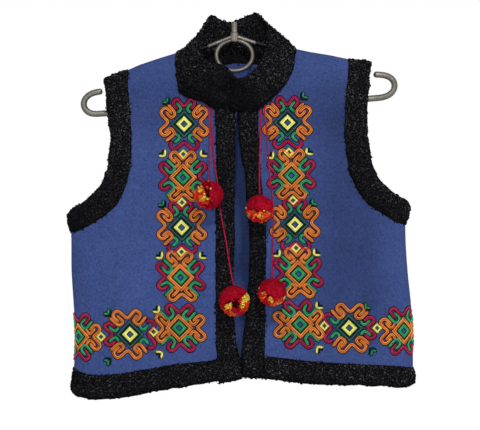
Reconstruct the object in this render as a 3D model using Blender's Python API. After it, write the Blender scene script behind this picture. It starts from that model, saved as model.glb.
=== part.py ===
"""Embroidered folk vest on its metal hanger: felt panels, boucle trims, stand collar, corded pompoms.

Metres, +Z up. The front faces -Y and the wearer's right side is at -X.
The origin is the top of the hanger's stem, which holds the whole vest.
"""
import bpy
import math
import numpy as np

for thing in list(bpy.data.objects):
    bpy.data.objects.remove(thing, do_unlink=True)

MM = 0.001
FELT = 2.0            # thickness of the felt
TRIM = 7.0            # thickness of the boucle trims
COLLAR_THICK = 6.5    # thickness of the stand collar
SEAM_GAP = 0.35       # free space between pieces that are sewn edge to edge
NECK_GAP = 1.2        # the same at the neck seam, where the pieces meet at an angle
SIDE_SEAM = 1.90      # angle of the side seams round the body, a little behind the sides
SHOULDER_RISE = 150.0  # height over which the body narrows to the shoulder ridge
ROD_BAR = 3.5         # radius of the hanger's bar
ROD_ARM = 2.1         # radius of its arms
ROD_RING = 2.2        # radius of its ring's wire
CORD = 1.0            # radius of the cords

# The body by height: height, left side, right side, half of the depth from front to back
BODY = (
    (-520.0, -216.4, 241.2, 38.5),
    (-464.4, -216.4, 241.2, 38.5),
    (-434.7, -215.1, 241.0, 38.0),
    (-380.7, -217.8, 238.5, 37.0),
    (-337.5, -220.5, 234.1, 36.3),
    (-288.9, -220.2, 231.1, 35.6),
    (-259.2, -221.8, 230.8, 35.2),
    (-199.8, -223.2, 230.0, 34.8),
    (-118.8, -223.2, 229.1, 34.4),
    (0.0, -223.2, 229.1, 34.4),
)

# The shoulder ridge: across, height
RIDGE = (
    (-194.0, -90.0), (-175.9, -79.7), (-167.8, -74.6), (-154.3, -68.6), (-143.5, -64.8),
    (-127.3, -57.6), (-100.3, -48.6), (-78.7, -41.9), (-46.3, -33.1), (-19.3, -27.7),
    (2.3, -25.7), (27.9, -27.7), (54.9, -31.7), (83.3, -36.5), (102.2, -40.5),
    (129.2, -44.9), (153.5, -50.0), (164.3, -52.3), (175.1, -54.0), (185.9, -56.0), (200.0, -59.0),
)

# Side seams and front edges below the armholes, hem first:
# height at the side seam, front edge across, front edge height
SIDE_LEFT = (
    (-464.4, -22.9, -452.9),
    (-436.1, -24.0, -429.3),
    (-405.0, -24.7, -402.3),
    (-375.3, -24.7, -372.6),
    (-345.6, -24.7, -342.9),
    (-317.2, -24.7, -314.6),
)
SIDE_RIGHT = (
    (-465.0, 40.5, -450.9),
    (-434.7, 41.0, -426.6),
    (-402.3, 41.6, -399.6),
    (-369.9, 41.9, -369.9),
    (-337.5, 42.1, -340.2),
    (-306.5, 42.1, -310.5),
)

# Armholes from the shoulder ridge down the front: seam across, seam height, opening edge across,
# opening edge height, how much lower the back runs, and where this row of cloth meets the neck
# or the front band: across, height
ARMHOLE_LEFT = (
    (-143.5, -64.8, -175.9, -79.7, 0.0, -78.7, -41.9),
    (-143.5, -66.7, -175.9, -81.6, 0.0, -79.0, -44.8),
    (-143.5, -70.2, -175.8, -85.1, 0.0, -79.4, -51.3),
    (-143.4, -76.0, -175.3, -90.5, 0.0, -79.8, -62.1),
    (-142.6, -90.5, -174.3, -102.5, 0.0, -78.3, -78.3),
    (-140.8, -109.4, -172.9, -117.5, 0.0, -73.3, -95.9),
    (-138.8, -132.3, -170.5, -135.5, 0.0, -61.2, -102.6),
    (-137.6, -156.6, -167.8, -155.0, 0.0, -45.0, -107.2),
    (-137.7, -179.6, -169.2, -175.5, 0.0, -26.8, -118.2),
    (-140.1, -202.5, -172.5, -194.4, 0.4, -25.2, -137.0),
    (-146.2, -225.5, -179.3, -213.7, 1.0, -23.8, -160.0),
    (-157.0, -245.7, -190.8, -229.5, 1.8, -23.5, -184.0),
    (-173.2, -261.3, -203.6, -240.7, 2.8, -23.5, -208.0),
    (-193.5, -273.4, -216.4, -248.4, 4.0, -23.7, -232.0),
    (-209.7, -281.5, -223.2, -254.0, 5.5, -24.1, -255.0),
)
ARMHOLE_RIGHT = (
    (153.5, -50.0, 185.9, -56.0, 0.0, 83.3, -36.5),
    (153.5, -51.9, 185.9, -57.9, 0.0, 83.1, -39.4),
    (153.5, -55.4, 185.7, -61.4, 0.0, 82.5, -46.0),
    (153.3, -61.0, 185.1, -66.8, 0.0, 81.0, -57.4),
    (152.3, -77.0, 183.2, -81.5, 0.0, 76.5, -71.5),
    (150.5, -97.2, 181.6, -99.9, 0.0, 69.0, -85.1),
    (148.5, -121.5, 180.0, -121.5, 0.0, 57.6, -97.2),
    (147.8, -145.8, 180.5, -144.5, 0.0, 45.5, -107.0),
    (148.8, -170.1, 182.5, -167.4, 0.0, 32.4, -118.6),
    (152.6, -194.4, 186.6, -189.4, 0.4, 32.0, -136.0),
    (159.6, -217.4, 195.3, -208.6, 1.0, 32.6, -158.0),
    (171.0, -236.3, 208.2, -222.8, 1.8, 33.6, -182.0),
    (187.2, -251.8, 220.3, -232.9, 2.8, 35.4, -206.0),
    (206.1, -263.9, 230.1, -239.0, 4.0, 37.6, -228.0),
    (219.5, -270.7, 234.5, -244.4, 5.5, 39.6, -250.0),
)
# At the side itself: seam height, opening edge height, front edge across and height
UNDERARM_LEFT = (-285.2, -257.8, -24.6, -278.0)
UNDERARM_RIGHT = (-274.6, -248.4, 41.3, -272.0)
UNDERARM_FLARE = 4.5  # how far the armhole trims stand out past the sides

# Front bands from the neck to the hem: seam across and height, opening edge across and height
BAND_LEFT = (
    (-26.6, -118.5, 2.0, -120.2),
    (-25.2, -137.0, 2.0, -137.0),
    (-23.8, -160.0, 2.2, -160.0),
    (-23.5, -184.0, 2.3, -184.0),
    (-23.5, -208.0, 2.3, -208.0),
    (-23.7, -232.0, 2.3, -232.0),
    (-24.1, -255.0, 2.2, -255.0),
    (-24.6, -278.0, 2.0, -278.0),
    (-24.7, -314.6, 1.6, -314.6),
    (-24.7, -342.9, 1.3, -342.9),
    (-24.7, -372.6, 1.5, -372.6),
    (-24.7, -402.3, 2.2, -402.3),
    (-24.0, -429.3, 4.2, -427.5),
    (-22.9, -452.9, 7.0, -450.5),
    (-20.9, -469.8, 8.5, -467.1),
    (-19.5, -485.7, 9.0, -481.3),
)
BAND_RIGHT = (
    (32.1, -119.0, 4.2, -120.5),
    (32.0, -136.0, 4.9, -136.0),
    (32.6, -158.0, 4.7, -158.0),
    (33.6, -182.0, 7.6, -182.0),
    (35.4, -206.0, 12.4, -206.0),
    (37.6, -228.0, 14.4, -228.0),
    (39.6, -250.0, 16.0, -250.0),
    (41.3, -272.0, 18.2, -272.0),
    (42.1, -310.5, 19.0, -310.5),
    (42.1, -340.2, 18.0, -340.2),
    (41.9, -369.9, 16.2, -369.9),
    (41.6, -399.6, 13.6, -399.6),
    (41.0, -426.6, 10.9, -426.6),
    (40.5, -450.9, 9.3, -450.0),
    (40.7, -467.1, 10.1, -465.8),
    (41.6, -482.0, 11.7, -479.9),
)

# Hem band, once round: degrees from the front centre (left negative), top edge, bottom edge
HEM = (
    (-8.9, -453.0, -485.8),
    (-12.9, -455.9, -488.6),
    (-18.2, -457.8, -492.1),
    (-23.6, -460.1, -495.5),
    (-29.3, -463.6, -498.4),
    (-35.3, -467.6, -502.2),
    (-41.8, -471.2, -505.8),
    (-48.9, -474.0, -508.4),
    (-57.2, -475.6, -509.4),
    (-65.5, -474.6, -508.6),
    (-74.0, -471.0, -505.0),
    (-82.0, -467.4, -501.6),
    (-90.0, -464.9, -498.6),
    (-98.0, -464.4, -496.6),
    (-108.9, -464.4, -494.8),
    (-125.0, -460.5, -490.6),
    (-142.0, -456.0, -486.0),
    (-161.0, -451.5, -481.0),
    (-180.0, -449.5, -478.0),
    (-199.0, -451.0, -479.0),
    (-218.0, -456.0, -482.5),
    (-235.0, -461.0, -486.0),
    (-251.1, -465.0, -488.0),
    (-262.0, -466.0, -488.6),
    (-270.0, -466.4, -489.6),
    (-278.0, -466.2, -491.2),
    (-287.0, -465.0, -493.8),
    (-295.0, -463.6, -493.6),
    (-303.4, -462.3, -492.6),
    (-314.0, -461.0, -491.0),
    (-323.8, -459.6, -489.8),
    (-333.0, -458.2, -488.4),
    (-341.1, -456.0, -486.2),
    (-347.4, -453.3, -484.5),
    (-352.6, -451.0, -482.6),
)
HEM_FLARE = 3.0       # how far the hem's lower edge stands out

# Stand collar from the left front end round the back to the right front end:
# neck seam across and height, top edge across, height and depth
COLLAR = (
    (2.0, -120.0, 2.0, -77.5, -32.0),
    (-12.6, -119.2, -6.6, -69.6, -31.5),
    (-26.8, -118.2, -16.9, -65.2, -30.5),
    (-45.0, -107.2, -26.6, -61.6, -28.5),
    (-61.2, -102.6, -34.0, -58.0, -25.5),
    (-73.3, -95.9, -39.8, -53.2, -21.5),
    (-78.3, -78.3, -43.4, -43.8, -15.5),
    (-79.8, -62.1, -44.6, -31.6, -8.0),
    (-79.4, -51.3, -43.4, -22.4, -3.0),
    (-78.7, -41.9, -42.2, -13.0, 2.0),
    (-67.9, -43.6, -39.4, -2.6, 8.0),
    (-55.8, -46.8, -34.6, 4.8, 14.0),
    (-38.2, -51.0, -27.2, 6.8, 18.5),
    (-19.3, -54.4, -15.8, 1.9, 21.0),
    (0.9, -56.4, -1.8, -1.8, 22.0),
    (21.2, -56.0, 11.2, 2.1, 21.5),
    (40.1, -52.6, 22.8, 8.0, 19.5),
    (56.3, -47.2, 31.2, 8.2, 16.0),
    (69.8, -41.0, 39.4, 1.6, 9.5),
    (83.3, -36.5, 46.6, -9.6, 2.5),
    (82.5, -46.0, 46.4, -19.6, -3.0),
    (81.0, -57.4, 45.4, -29.4, -7.5),
    (76.5, -71.5, 42.4, -41.6, -14.0),
    (69.0, -85.1, 36.6, -54.4, -20.0),
    (57.6, -97.2, 28.8, -65.4, -25.0),
    (45.5, -107.0, 20.6, -73.4, -28.5),
    (32.4, -118.6, 13.4, -77.8, -30.5),
    (18.5, -119.8, 8.6, -79.4, -31.5),
    (4.3, -120.2, 4.6, -80.2, -32.0),
)
NECK_BACK = COLLAR[9:20]   # the rows of the collar that stand on the back panel

# Pompoms: name, across, depth, height, radius
POMPOMS = (
    ("pompom_1", -33.5, -55.4, -234.2, 19.4),
    ("pompom_2", 0.3, -59.6, -376.7, 20.0),
    ("pompom_3", 34.0, -56.6, -252.5, 18.8),
    ("pompom_4", 50.2, -56.8, -364.5, 19.4),
)

# Cords from the collar seam down to the pompoms: across, depth, height
CORDS = (
    ("cord_1", (
        (-36.9, -31.2, -113.2), (-34.2, -33.0, -122.0), (-32.6, -36.0, -139.1),
        (-32.4, -42.0, -166.1), (-32.8, -48.4, -193.1), (-33.2, -55.4, -214.5),
    )),
    ("cord_2", (
        (-30.1, -31.7, -117.2), (-30.0, -32.6, -126.0), (-30.3, -34.0, -139.1),
        (-29.2, -35.8, -159.3), (-26.1, -38.0, -193.1), (-22.6, -38.8, -216.0),
        (-18.6, -39.2, -252.5), (-11.2, -45.2, -294.3), (-5.8, -52.2, -328.1),
        (-0.8, -59.4, -356.4),
    )),
    ("cord_3", (
        (34.9, -32.4, -118.8), (34.9, -34.4, -139.1), (34.1, -42.0, -172.8),
        (33.5, -50.0, -206.6), (33.8, -56.6, -233.4),
    )),
    ("cord_4", (
        (41.4, -31.2, -112.2), (40.6, -33.6, -127.0), (43.6, -34.7, -152.6),
        (44.6, -35.5, -172.8), (46.4, -35.8, -193.1), (48.0, -36.1, -213.3),
        (51.0, -36.9, -240.3), (52.0, -41.0, -267.3), (51.4, -47.4, -294.3),
        (50.5, -56.6, -344.8),
    )),
)

# The hanger's bar with its two upturned ends, and its arms: across, height
BAR = (
    (-180.0, -92.5), (-185.0, -93.1), (-189.6, -94.2), (-193.8, -95.7), (-197.5, -98.0),
    (-200.4, -101.0), (-202.3, -104.4), (-203.2, -108.2), (-202.9, -112.4), (-201.2, -116.6),
    (-198.4, -119.8), (-194.8, -122.2), (-190.1, -123.4), (-184.0, -123.5), (-171.9, -122.9),
    (0.9, -112.9), (180.5, -102.6), (192.0, -101.6), (198.6, -100.9), (204.4, -99.4),
    (209.4, -96.8), (213.2, -93.0), (215.6, -88.4), (216.2, -83.6), (214.9, -78.8),
    (212.0, -74.8), (208.0, -72.2), (203.0, -70.6), (196.7, -69.8), (188.6, -69.5),
)
ARM_LEFT = (
    (-6.4, -21.4), (-20.0, -26.8), (-33.5, -32.2), (-60.0, -41.4), (-78.7, -46.9),
    (-100.3, -53.8), (-114.0, -58.3), (-123.0, -62.6), (-130.0, -68.6), (-135.6, -77.0),
    (-139.6, -88.0), (-142.8, -117.3),
)
ARM_RIGHT = (
    (6.4, -21.0), (16.0, -24.2), (27.3, -27.8), (54.0, -35.0), (83.3, -41.8),
    (102.2, -45.7), (126.0, -49.8), (135.0, -53.4), (142.6, -59.6), (147.6, -68.0),
    (150.4, -79.0), (152.1, -100.4),
)
STEM = ((0.0, 3.9), (-13.6, 3.9), (-15.4, 5.4), (-25.6, 5.4), (-27.0, 4.6))   # height, radius
RING_CENTRE = (0.3, -2.5, -46.3)
RING_RADIUS = 23.5
RING_START = 16.0     # degrees from the top where the ring's wire starts


def material(name, colour, roughness, metallic=0.0):
    """A plain named surface."""
    made = bpy.data.materials.new(name)
    made.use_nodes = True
    made.diffuse_color = (*colour, 1.0)
    shader = made.node_tree.nodes["Principled BSDF"]
    shader.inputs["Base Color"].default_value = (*colour, 1.0)
    shader.inputs["Roughness"].default_value = roughness
    shader.inputs["Metallic"].default_value = metallic
    return made


BLUE_FELT = material("blue_felt", (0.045, 0.098, 0.330), 0.9)
BLACK_BOUCLE = material("black_boucle", (0.012, 0.012, 0.014), 0.95)
CRIMSON_WOOL = material("crimson_wool", (0.45, 0.012, 0.03), 0.9)
CRIMSON_CORD = material("crimson_cord", (0.36, 0.01, 0.05), 0.8)
STEEL = material("steel", (0.30, 0.28, 0.24), 0.35, 1.0)


def curve_at(rows, key, column):
    """Smooth value of one column of a table at a key of its first column."""
    keys = [row[0] for row in rows]
    values = [row[column] for row in rows]
    if keys[0] > keys[-1]:
        keys.reverse()
        values.reverse()
    slopes = np.gradient(values, keys)
    at = min(max(np.searchsorted(keys, key) - 1, 0), len(keys) - 2)
    span = keys[at + 1] - keys[at]
    t = min(max((key - keys[at]) / span, 0.0), 1.0)
    rise = t * t * (3.0 - 2.0 * t)
    lean = span * (slopes[at] * (t - 2 * t * t + t ** 3) + slopes[at + 1] * (t ** 3 - t * t))
    return values[at] * (1.0 - rise) + values[at + 1] * rise + lean


def line_at(rows, key, column=1):
    """Straight-line value of one column of a table."""
    keys = np.array([row[0] for row in rows])
    values = np.array([row[column] for row in rows])
    order = np.argsort(keys)
    return float(np.interp(key, keys[order], values[order]))


def sides(z):
    """Middle and half width of the body at a height."""
    left = curve_at(BODY, z, 1)
    right = curve_at(BODY, z, 2)
    return (left + right) / 2.0, (right - left) / 2.0


def depth_squared(x, z, flare=0.0):
    """Square of the body's half depth, below nought outside the body."""
    middle, half = sides(z)
    across = (x - middle) / (half + flare)
    round_off = (1.0 - across * across) * (1.0 + 0.25 * across * across) ** 2
    drop = (line_at(RIDGE, x) - z) / SHOULDER_RISE
    narrow = math.sin(math.pi / 2.0 * min(drop, 1.0))
    return (curve_at(BODY, z, 3) + flare) ** 2 * round_off * narrow


def skin(x, z, face, flare=0.0):
    """Point on the cloth's outer face and its direction outwards; face is -1 front, 1 back."""
    y = face * math.sqrt(max(depth_squared(x, z, flare), 0.16 ** 2))
    step = 0.5
    gx = depth_squared(x + step, z, flare) - depth_squared(x - step, z, flare)
    gz = depth_squared(x, z + step, flare) - depth_squared(x, z - step, flare)
    out = np.array((-gx / (2 * step), 2.0 * y, -gz / (2 * step)))
    if abs(y) < 0.2:
        out[1] = 0.0
    return np.array((x, y, z)), out / np.linalg.norm(out)


def skin_round(angle, z, flare=0.0):
    """The same by the angle round the body, nought at the front and negative to the left."""
    middle, half = sides(z)
    face = -1.0 if math.cos(angle) > 0.0 else 1.0
    return skin(middle + (half + flare) * math.sin(angle), z, face, flare)


def angle_of(x, z, face=-1.0):
    """Angle round the body of a point across the front or the back."""
    middle, half = sides(z)
    turn = math.asin(min(max((x - middle) / half, -1.0), 1.0))
    if face < 0.0:
        return turn
    return math.copysign(math.pi, turn) - turn


def solid(name, points, faces, surface):
    """A closed body from points in millimetres."""
    mesh = bpy.data.meshes.new(name)
    mesh.from_pydata([tuple(c * MM for c in p) for p in points], [], faces)
    mesh.materials.append(surface)
    mesh.update()
    made = bpy.data.objects.new(name, mesh)
    bpy.context.scene.collection.objects.link(made)
    return made


def cloth(name, grid):
    """A slab of felt under a grid of outer points with their directions outwards."""
    rows = len(grid)
    columns = len(grid[0])
    outer = [p for row in grid for p, n in row]
    inner = [p - n * FELT for row in grid for p, n in row]
    under = rows * columns
    faces = []
    for r in range(rows - 1):
        for c in range(columns - 1):
            a = r * columns + c
            ring = (a, a + 1, a + columns + 1, a + columns)
            faces.append(ring)
            faces.append(tuple(under + i for i in reversed(ring)))
    border = [c for c in range(columns)]
    border += [r * columns + columns - 1 for r in range(1, rows)]
    border += [(rows - 1) * columns + c for c in range(columns - 2, -1, -1)]
    border += [r * columns for r in range(rows - 2, 0, -1)]
    for a, b in zip(border, border[1:] + border[:1]):
        faces.append((b, a, under + a, under + b))
    return solid(name, outer + inner, faces, BLUE_FELT)


def band(name, stations, thick, closed, surface=BLACK_BOUCLE):
    """A padded band lofted along stations; each is a list of (centre, direction outwards)."""
    r = thick / 2.0
    points = []
    for line in stations:
        first, last = line[0][0], line[-1][0]
        start = (line[1][0] - first) / np.linalg.norm(line[1][0] - first) * 0.3 * thick
        end = (line[-2][0] - last) / np.linalg.norm(line[-2][0] - last) * 0.3 * thick
        for side in (1.0, -1.0):
            row = [first + line[0][1] * r * 0.5 * side]
            row.append(first + start + line[0][1] * r * side)
            row += [p + n * r * side for p, n in line[1:-1]]
            row.append(last + end + line[-1][1] * r * side)
            row.append(last + line[-1][1] * r * 0.5 * side)
            points += row if side > 0 else row[::-1]
    ring = len(points) // len(stations)
    faces = []
    count = len(stations)
    for s in range(count if closed else count - 1):
        a = s * ring
        b = (s + 1) % count * ring
        for i in range(ring):
            j = (i + 1) % ring
            faces.append((a + i, a + j, b + j, b + i))
    if not closed:
        faces.append(tuple(reversed(range(ring))))
        faces.append(tuple((count - 1) * ring + i for i in range(ring)))
    made = solid(name, points, faces, surface)
    if signed_volume(made) < 0.0:
        made.data.flip_normals()
    return made


def signed_volume(made):
    """Volume of a mesh, negative when its faces look inwards."""
    total = 0.0
    for polygon in made.data.polygons:
        corners = [made.data.vertices[i].co for i in polygon.vertices]
        for b, c in zip(corners[1:], corners[2:]):
            total += corners[0].dot(b.cross(c))
    return total / 6.0


def rod(name, path, radius, surface, radii=None, sides_round=3):
    """A round rod or cord along a path in millimetres."""
    data = bpy.data.curves.new(name, "CURVE")
    data.dimensions = "3D"
    data.bevel_depth = radius * MM
    data.bevel_resolution = sides_round
    data.use_fill_caps = True
    line = data.splines.new("POLY")
    line.points.add(len(path) - 1)
    for i, place in enumerate(path):
        line.points[i].co = (*(c * MM for c in place), 1.0)
        if radii:
            line.points[i].radius = radii[i]
    data.materials.append(surface)
    made = bpy.data.objects.new(name, data)
    bpy.context.scene.collection.objects.link(made)
    return made


def front_panel(name, side_rows, armhole, underarm, hand):
    """One front: rows of cloth from the side seam or armhole to the front edge or neck."""
    seam = hand * (SIDE_SEAM - 0.003)
    rows = [(seam, z, angle_of(x, fz), fz) for z, x, fz in side_rows]
    low = armhole[-1]
    low_z = low[1] - low[4]
    edge_x = (underarm[2] * 2.0 + side_rows[-1][1]) / 3.0
    edge_z = (underarm[3] * 2.0 + side_rows[-1][2]) / 3.0
    rows.append((hand * (math.pi - abs(angle_of(low[0], low_z)) - 0.003), low_z,
                 angle_of(edge_x, edge_z), edge_z))
    rows.append((hand * math.pi / 2.0, underarm[0], angle_of(underarm[2], underarm[3]), underarm[3]))
    for x, z, _, _, _, nx, nz in reversed(armhole):
        rows.append((angle_of(x, z), z, angle_of(nx, nz), nz))
    grid = []
    steps = (0.0, 0.04, 0.08, 0.12, 0.165, 0.215, 0.27, 0.34, 0.42, 0.51, 0.61, 0.73, 0.86, 1.0)
    top = rows[-1]
    for a0, z0, a1, z1 in rows:
        line = []
        for s in steps:
            angle = a0 + (a1 - a0) * s
            z = z0 + (z1 - z0) * s
            up = top[1] + (top[3] - top[1]) * s
            middle, half = sides(up)
            ridge = line_at(RIDGE, middle + half * math.sin(top[0] + (top[2] - top[0]) * s))
            z += (ridge - up) * max(0.0, 1.0 - (top[1] - z0) / 60.0) ** 2
            hem = rows[0][1] + (rows[0][3] - rows[0][1]) * s
            z += (hem_at(angle) - hem) * max(0.0, 1.0 - (z0 - rows[0][1]) / 150.0) ** 2
            line.append(skin_round(angle, z))
        grid.append(line if hand < 0.0 else line[::-1])
    return cloth(name, grid)


def hem_at(angle):
    """Height of the hem band's top edge at an angle round the body."""
    degrees = math.degrees(angle)
    while degrees > 0.0:
        degrees -= 360.0
    if degrees > -8.9:
        return HEM[0][1] + 1.6 * SEAM_GAP
    return line_at(HEM, max(degrees, HEM[-1][0])) + 1.6 * SEAM_GAP


def back_panel():
    """The back: rows of cloth from side to side, cut out for the neck at the top."""
    rows = []
    for left, right in zip(SIDE_LEFT, SIDE_RIGHT):
        rows.append((-SIDE_SEAM - 0.003, left[0], SIDE_SEAM + 0.003, right[0]))
    for left, right in zip(reversed(ARMHOLE_LEFT), reversed(ARMHOLE_RIGHT)):
        a0 = angle_of(left[0], left[1] - left[4], 1.0)
        a1 = angle_of(right[0], right[1] - right[4], 1.0)
        rows.append((a0, left[1] - left[4], a1, right[1] - right[4]))
    low = rows[len(SIDE_LEFT)]
    rows[len(SIDE_LEFT)] = (low[0] - 0.003, low[1], low[2] + 0.003, low[3])
    top = rows[-1]
    turn = 2.0 * math.pi

    def share(x, z):
        angle = angle_of(x, z, 1.0)
        angle -= turn if angle > 0.0 else 0.0
        return (angle - top[0]) / (top[2] - turn - top[0])

    edge = [share(row[0], row[1]) for row in NECK_BACK]
    steps = [edge[0] * k for k in (0.0, 0.07, 0.15, 0.25, 0.4, 0.6, 0.8)]
    steps += edge
    steps += [1.0 - (1.0 - edge[-1]) * k for k in (0.8, 0.6, 0.4, 0.25, 0.15, 0.07, 0.0)]
    grid = []
    for a0, z0, a1, z1 in rows:
        line = []
        for s in steps:
            angle = a0 + (a1 - turn - a0) * s
            z = z0 + (z1 - z0) * s
            up = top[1] + (top[3] - top[1]) * s
            middle, half = sides(up)
            x = middle + half * math.sin(top[0] + (top[2] - turn - top[0]) * s)
            if NECK_BACK[0][0] < x < NECK_BACK[-1][0]:
                edge_z = line_at(NECK_BACK, x)
            else:
                edge_z = line_at(RIDGE, x)
            drop = top[1] - z0 + (top[3] - z1 - top[1] + z0) * s
            z += (edge_z - up) * max(0.0, 1.0 - drop / 110.0) ** 2
            hem = rows[0][1] + (rows[0][3] - rows[0][1]) * s
            z += (hem_at(angle) - hem) * max(0.0, 1.0 - (z0 - rows[0][1]) / 150.0) ** 2
            line.append(skin_round(angle, z))
        grid.append(line[::-1])
    return cloth("back", grid)


def sewn(seam, edge, gap=SEAM_GAP):
    """Centre line of a band across from its seam to its free edge, inside the felt's thickness."""
    middle = None
    if len(seam) == 3:
        middle = seam[2]
    start, start_out = seam[0], seam[1]
    towards = edge[0] - start
    start = start + towards / np.linalg.norm(towards) * gap
    line = [(start - start_out * FELT / 2.0, start_out)]
    if middle:
        line.append((middle[0] - middle[1] * FELT / 2.0, middle[1]))
    line.append((edge[0] - edge[1] * FELT / 2.0, edge[1]))
    return line


def armhole_trim(name, armhole, underarm, hand):
    """The band round one armhole, a closed loop over the shoulder and under the arm."""
    def station(x, z, ex, ez, face):
        seam = skin(x, z, face)
        edge = skin(ex, ez, face, UNDERARM_FLARE)
        half_way = skin((x + ex) / 2.0, (z + ez) / 2.0, face, UNDERARM_FLARE / 2.0)
        if x == armhole[0][0] and z == armhole[0][1]:
            for place, out in (seam, edge, half_way):
                place[1] = 0.0
            half_way[0][2] = line_at(RIDGE, half_way[0][0])
        return sewn((*seam, half_way), edge)

    stations = [station(*row[:4], -1.0) for row in armhole]
    seam = skin_round(hand * math.pi / 2.0, underarm[0])
    edge = skin_round(hand * math.pi / 2.0, underarm[1], UNDERARM_FLARE)
    half_way = skin_round(hand * math.pi / 2.0, (underarm[0] + underarm[1]) / 2.0, UNDERARM_FLARE / 2)
    stations.append(sewn((*seam, half_way), edge))
    for x, z, ex, ez, lower, _, _ in reversed(armhole[1:]):
        stations.append(station(x, z - lower, ex, ez - lower, 1.0))
    return band(name, stations, TRIM, True)


def front_band(name, rows):
    """The band down one front edge."""
    return band(name, [sewn(skin(a, b, -1.0), skin(c, d, -1.0)) for a, b, c, d in rows], TRIM, False)


def hem_band():
    """The band round the hem, from front edge to front edge."""
    stations = []
    for degrees, top, bottom in HEM:
        angle = math.radians(degrees)
        stations.append(sewn(skin_round(angle, top), skin_round(angle, bottom, HEM_FLARE), 0.0))
    return band("hem_band", stations, TRIM, False)


def collar():
    """The stand collar, leaning in from the neck seam to its top edge."""
    seam = []
    edge = []
    for i, (x, z, tx, tz, ty) in enumerate(COLLAR):
        face = 1.0 if 9 < i < 19 else -1.0
        place = skin(x, z, face)[0]
        if i in (9, 19):
            place[1] = 0.0
        seam.append(place)
        edge.append(np.array((tx, ty, tz)))
    stations = []
    for i in range(len(seam)):
        before = max(i - 1, 0)
        after = min(i + 1, len(seam) - 1)
        along = (seam[after] + edge[after]) - (seam[before] + edge[before])
        up = edge[i] - seam[i]
        out = np.cross(along, up)
        out /= np.linalg.norm(out)
        if out[1] * (seam[i][1] or -1.0) < 0.0 and abs(seam[i][1]) > 5.0:
            out = -out
        start = seam[i] + up / np.linalg.norm(up) * NECK_GAP - out * FELT / 2.0
        stations.append([(start, out), ((start + edge[i]) / 2.0 - out * 1.0, out), (edge[i], out)])
    return band("collar", stations, COLLAR_THICK, False)


def pompom(name, x, y, z, radius):
    """A round wool pompom."""
    bpy.ops.mesh.primitive_uv_sphere_add(segments=24, ring_count=14, radius=radius * MM,
                                         location=(x * MM, y * MM, z * MM))
    made = bpy.context.object
    made.name = name
    made.data.name = name
    made.data.materials.append(CRIMSON_WOOL)
    return made


def hanger():
    """Bar with upturned ends, two arms, ring and stem."""
    rod("hanger_bar", [(x, 0.0, z) for x, z in BAR], ROD_BAR, STEEL)
    for name, arm in (("hanger_arm_left", ARM_LEFT), ("hanger_arm_right", ARM_RIGHT)):
        reach = abs(arm[4][0])
        path = [(x, 2.4 * max(0.0, 1.0 - abs(x) / reach), z) for x, z in arm]
        rod(name, path, ROD_ARM, STEEL)
    cx, cy, cz = RING_CENTRE
    turn = [math.radians(RING_START + (360.0 - 2 * RING_START) * k / 40) for k in range(41)]
    rod("hanger_ring", [(cx + RING_RADIUS * math.sin(a), cy, cz + RING_RADIUS * math.cos(a))
                        for a in turn], ROD_RING, STEEL)
    rod("hanger_stem", [(0.0, 0.0, z) for z, r in STEM], 1.0, STEEL, [r for z, r in STEM], 4)


front_panel("front_left", SIDE_LEFT, ARMHOLE_LEFT, UNDERARM_LEFT, -1.0)
front_panel("front_right", SIDE_RIGHT, ARMHOLE_RIGHT, UNDERARM_RIGHT, 1.0)
back_panel()
front_band("front_band_left", BAND_LEFT)
front_band("front_band_right", BAND_RIGHT)
hem_band()
armhole_trim("armhole_trim_left", ARMHOLE_LEFT, UNDERARM_LEFT, -1.0)
armhole_trim("armhole_trim_right", ARMHOLE_RIGHT, UNDERARM_RIGHT, 1.0)
collar()
for row in POMPOMS:
    pompom(*row)
for cord_name, cord_path in CORDS:
    rod(cord_name, cord_path, CORD, CRIMSON_CORD, None, 2)
hanger()
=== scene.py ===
"""Embroidered folk vest on a metal hanger: felt panels, boucle trims, stand collar, satin-stitched
borders, twisted cords with wool pompoms, and the steel hanger that carries it.

Metres, +Z up. The front faces -Y. The origin is the top of the hanger's stem.
The tables and sizes below are in millimetres where they don't say otherwise.
"""
import itertools
import math

import bpy
import numpy as np
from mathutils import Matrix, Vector


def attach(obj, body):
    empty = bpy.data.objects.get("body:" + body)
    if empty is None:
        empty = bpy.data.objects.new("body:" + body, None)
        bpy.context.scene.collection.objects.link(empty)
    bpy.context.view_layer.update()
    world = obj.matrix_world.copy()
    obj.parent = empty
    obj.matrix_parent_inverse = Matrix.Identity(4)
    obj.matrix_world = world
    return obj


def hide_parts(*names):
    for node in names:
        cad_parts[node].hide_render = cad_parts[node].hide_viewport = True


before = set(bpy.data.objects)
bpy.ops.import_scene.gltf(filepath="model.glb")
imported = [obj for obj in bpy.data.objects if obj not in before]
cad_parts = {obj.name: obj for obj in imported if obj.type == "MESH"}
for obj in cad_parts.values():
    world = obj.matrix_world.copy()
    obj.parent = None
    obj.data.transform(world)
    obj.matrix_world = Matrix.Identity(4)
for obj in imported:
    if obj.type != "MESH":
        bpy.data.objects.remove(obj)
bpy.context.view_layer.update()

bl_info = {
    "name": "Folk vest on a hanger",
    "version": (1, 0, 0),
    "blender": (4, 5, 0),
    "location": "View3D > Sidebar > Folk Vest",
    "description": "Makes an embroidered felt vest with boucle trims on its hanger",
    "category": "Object",
}

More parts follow.
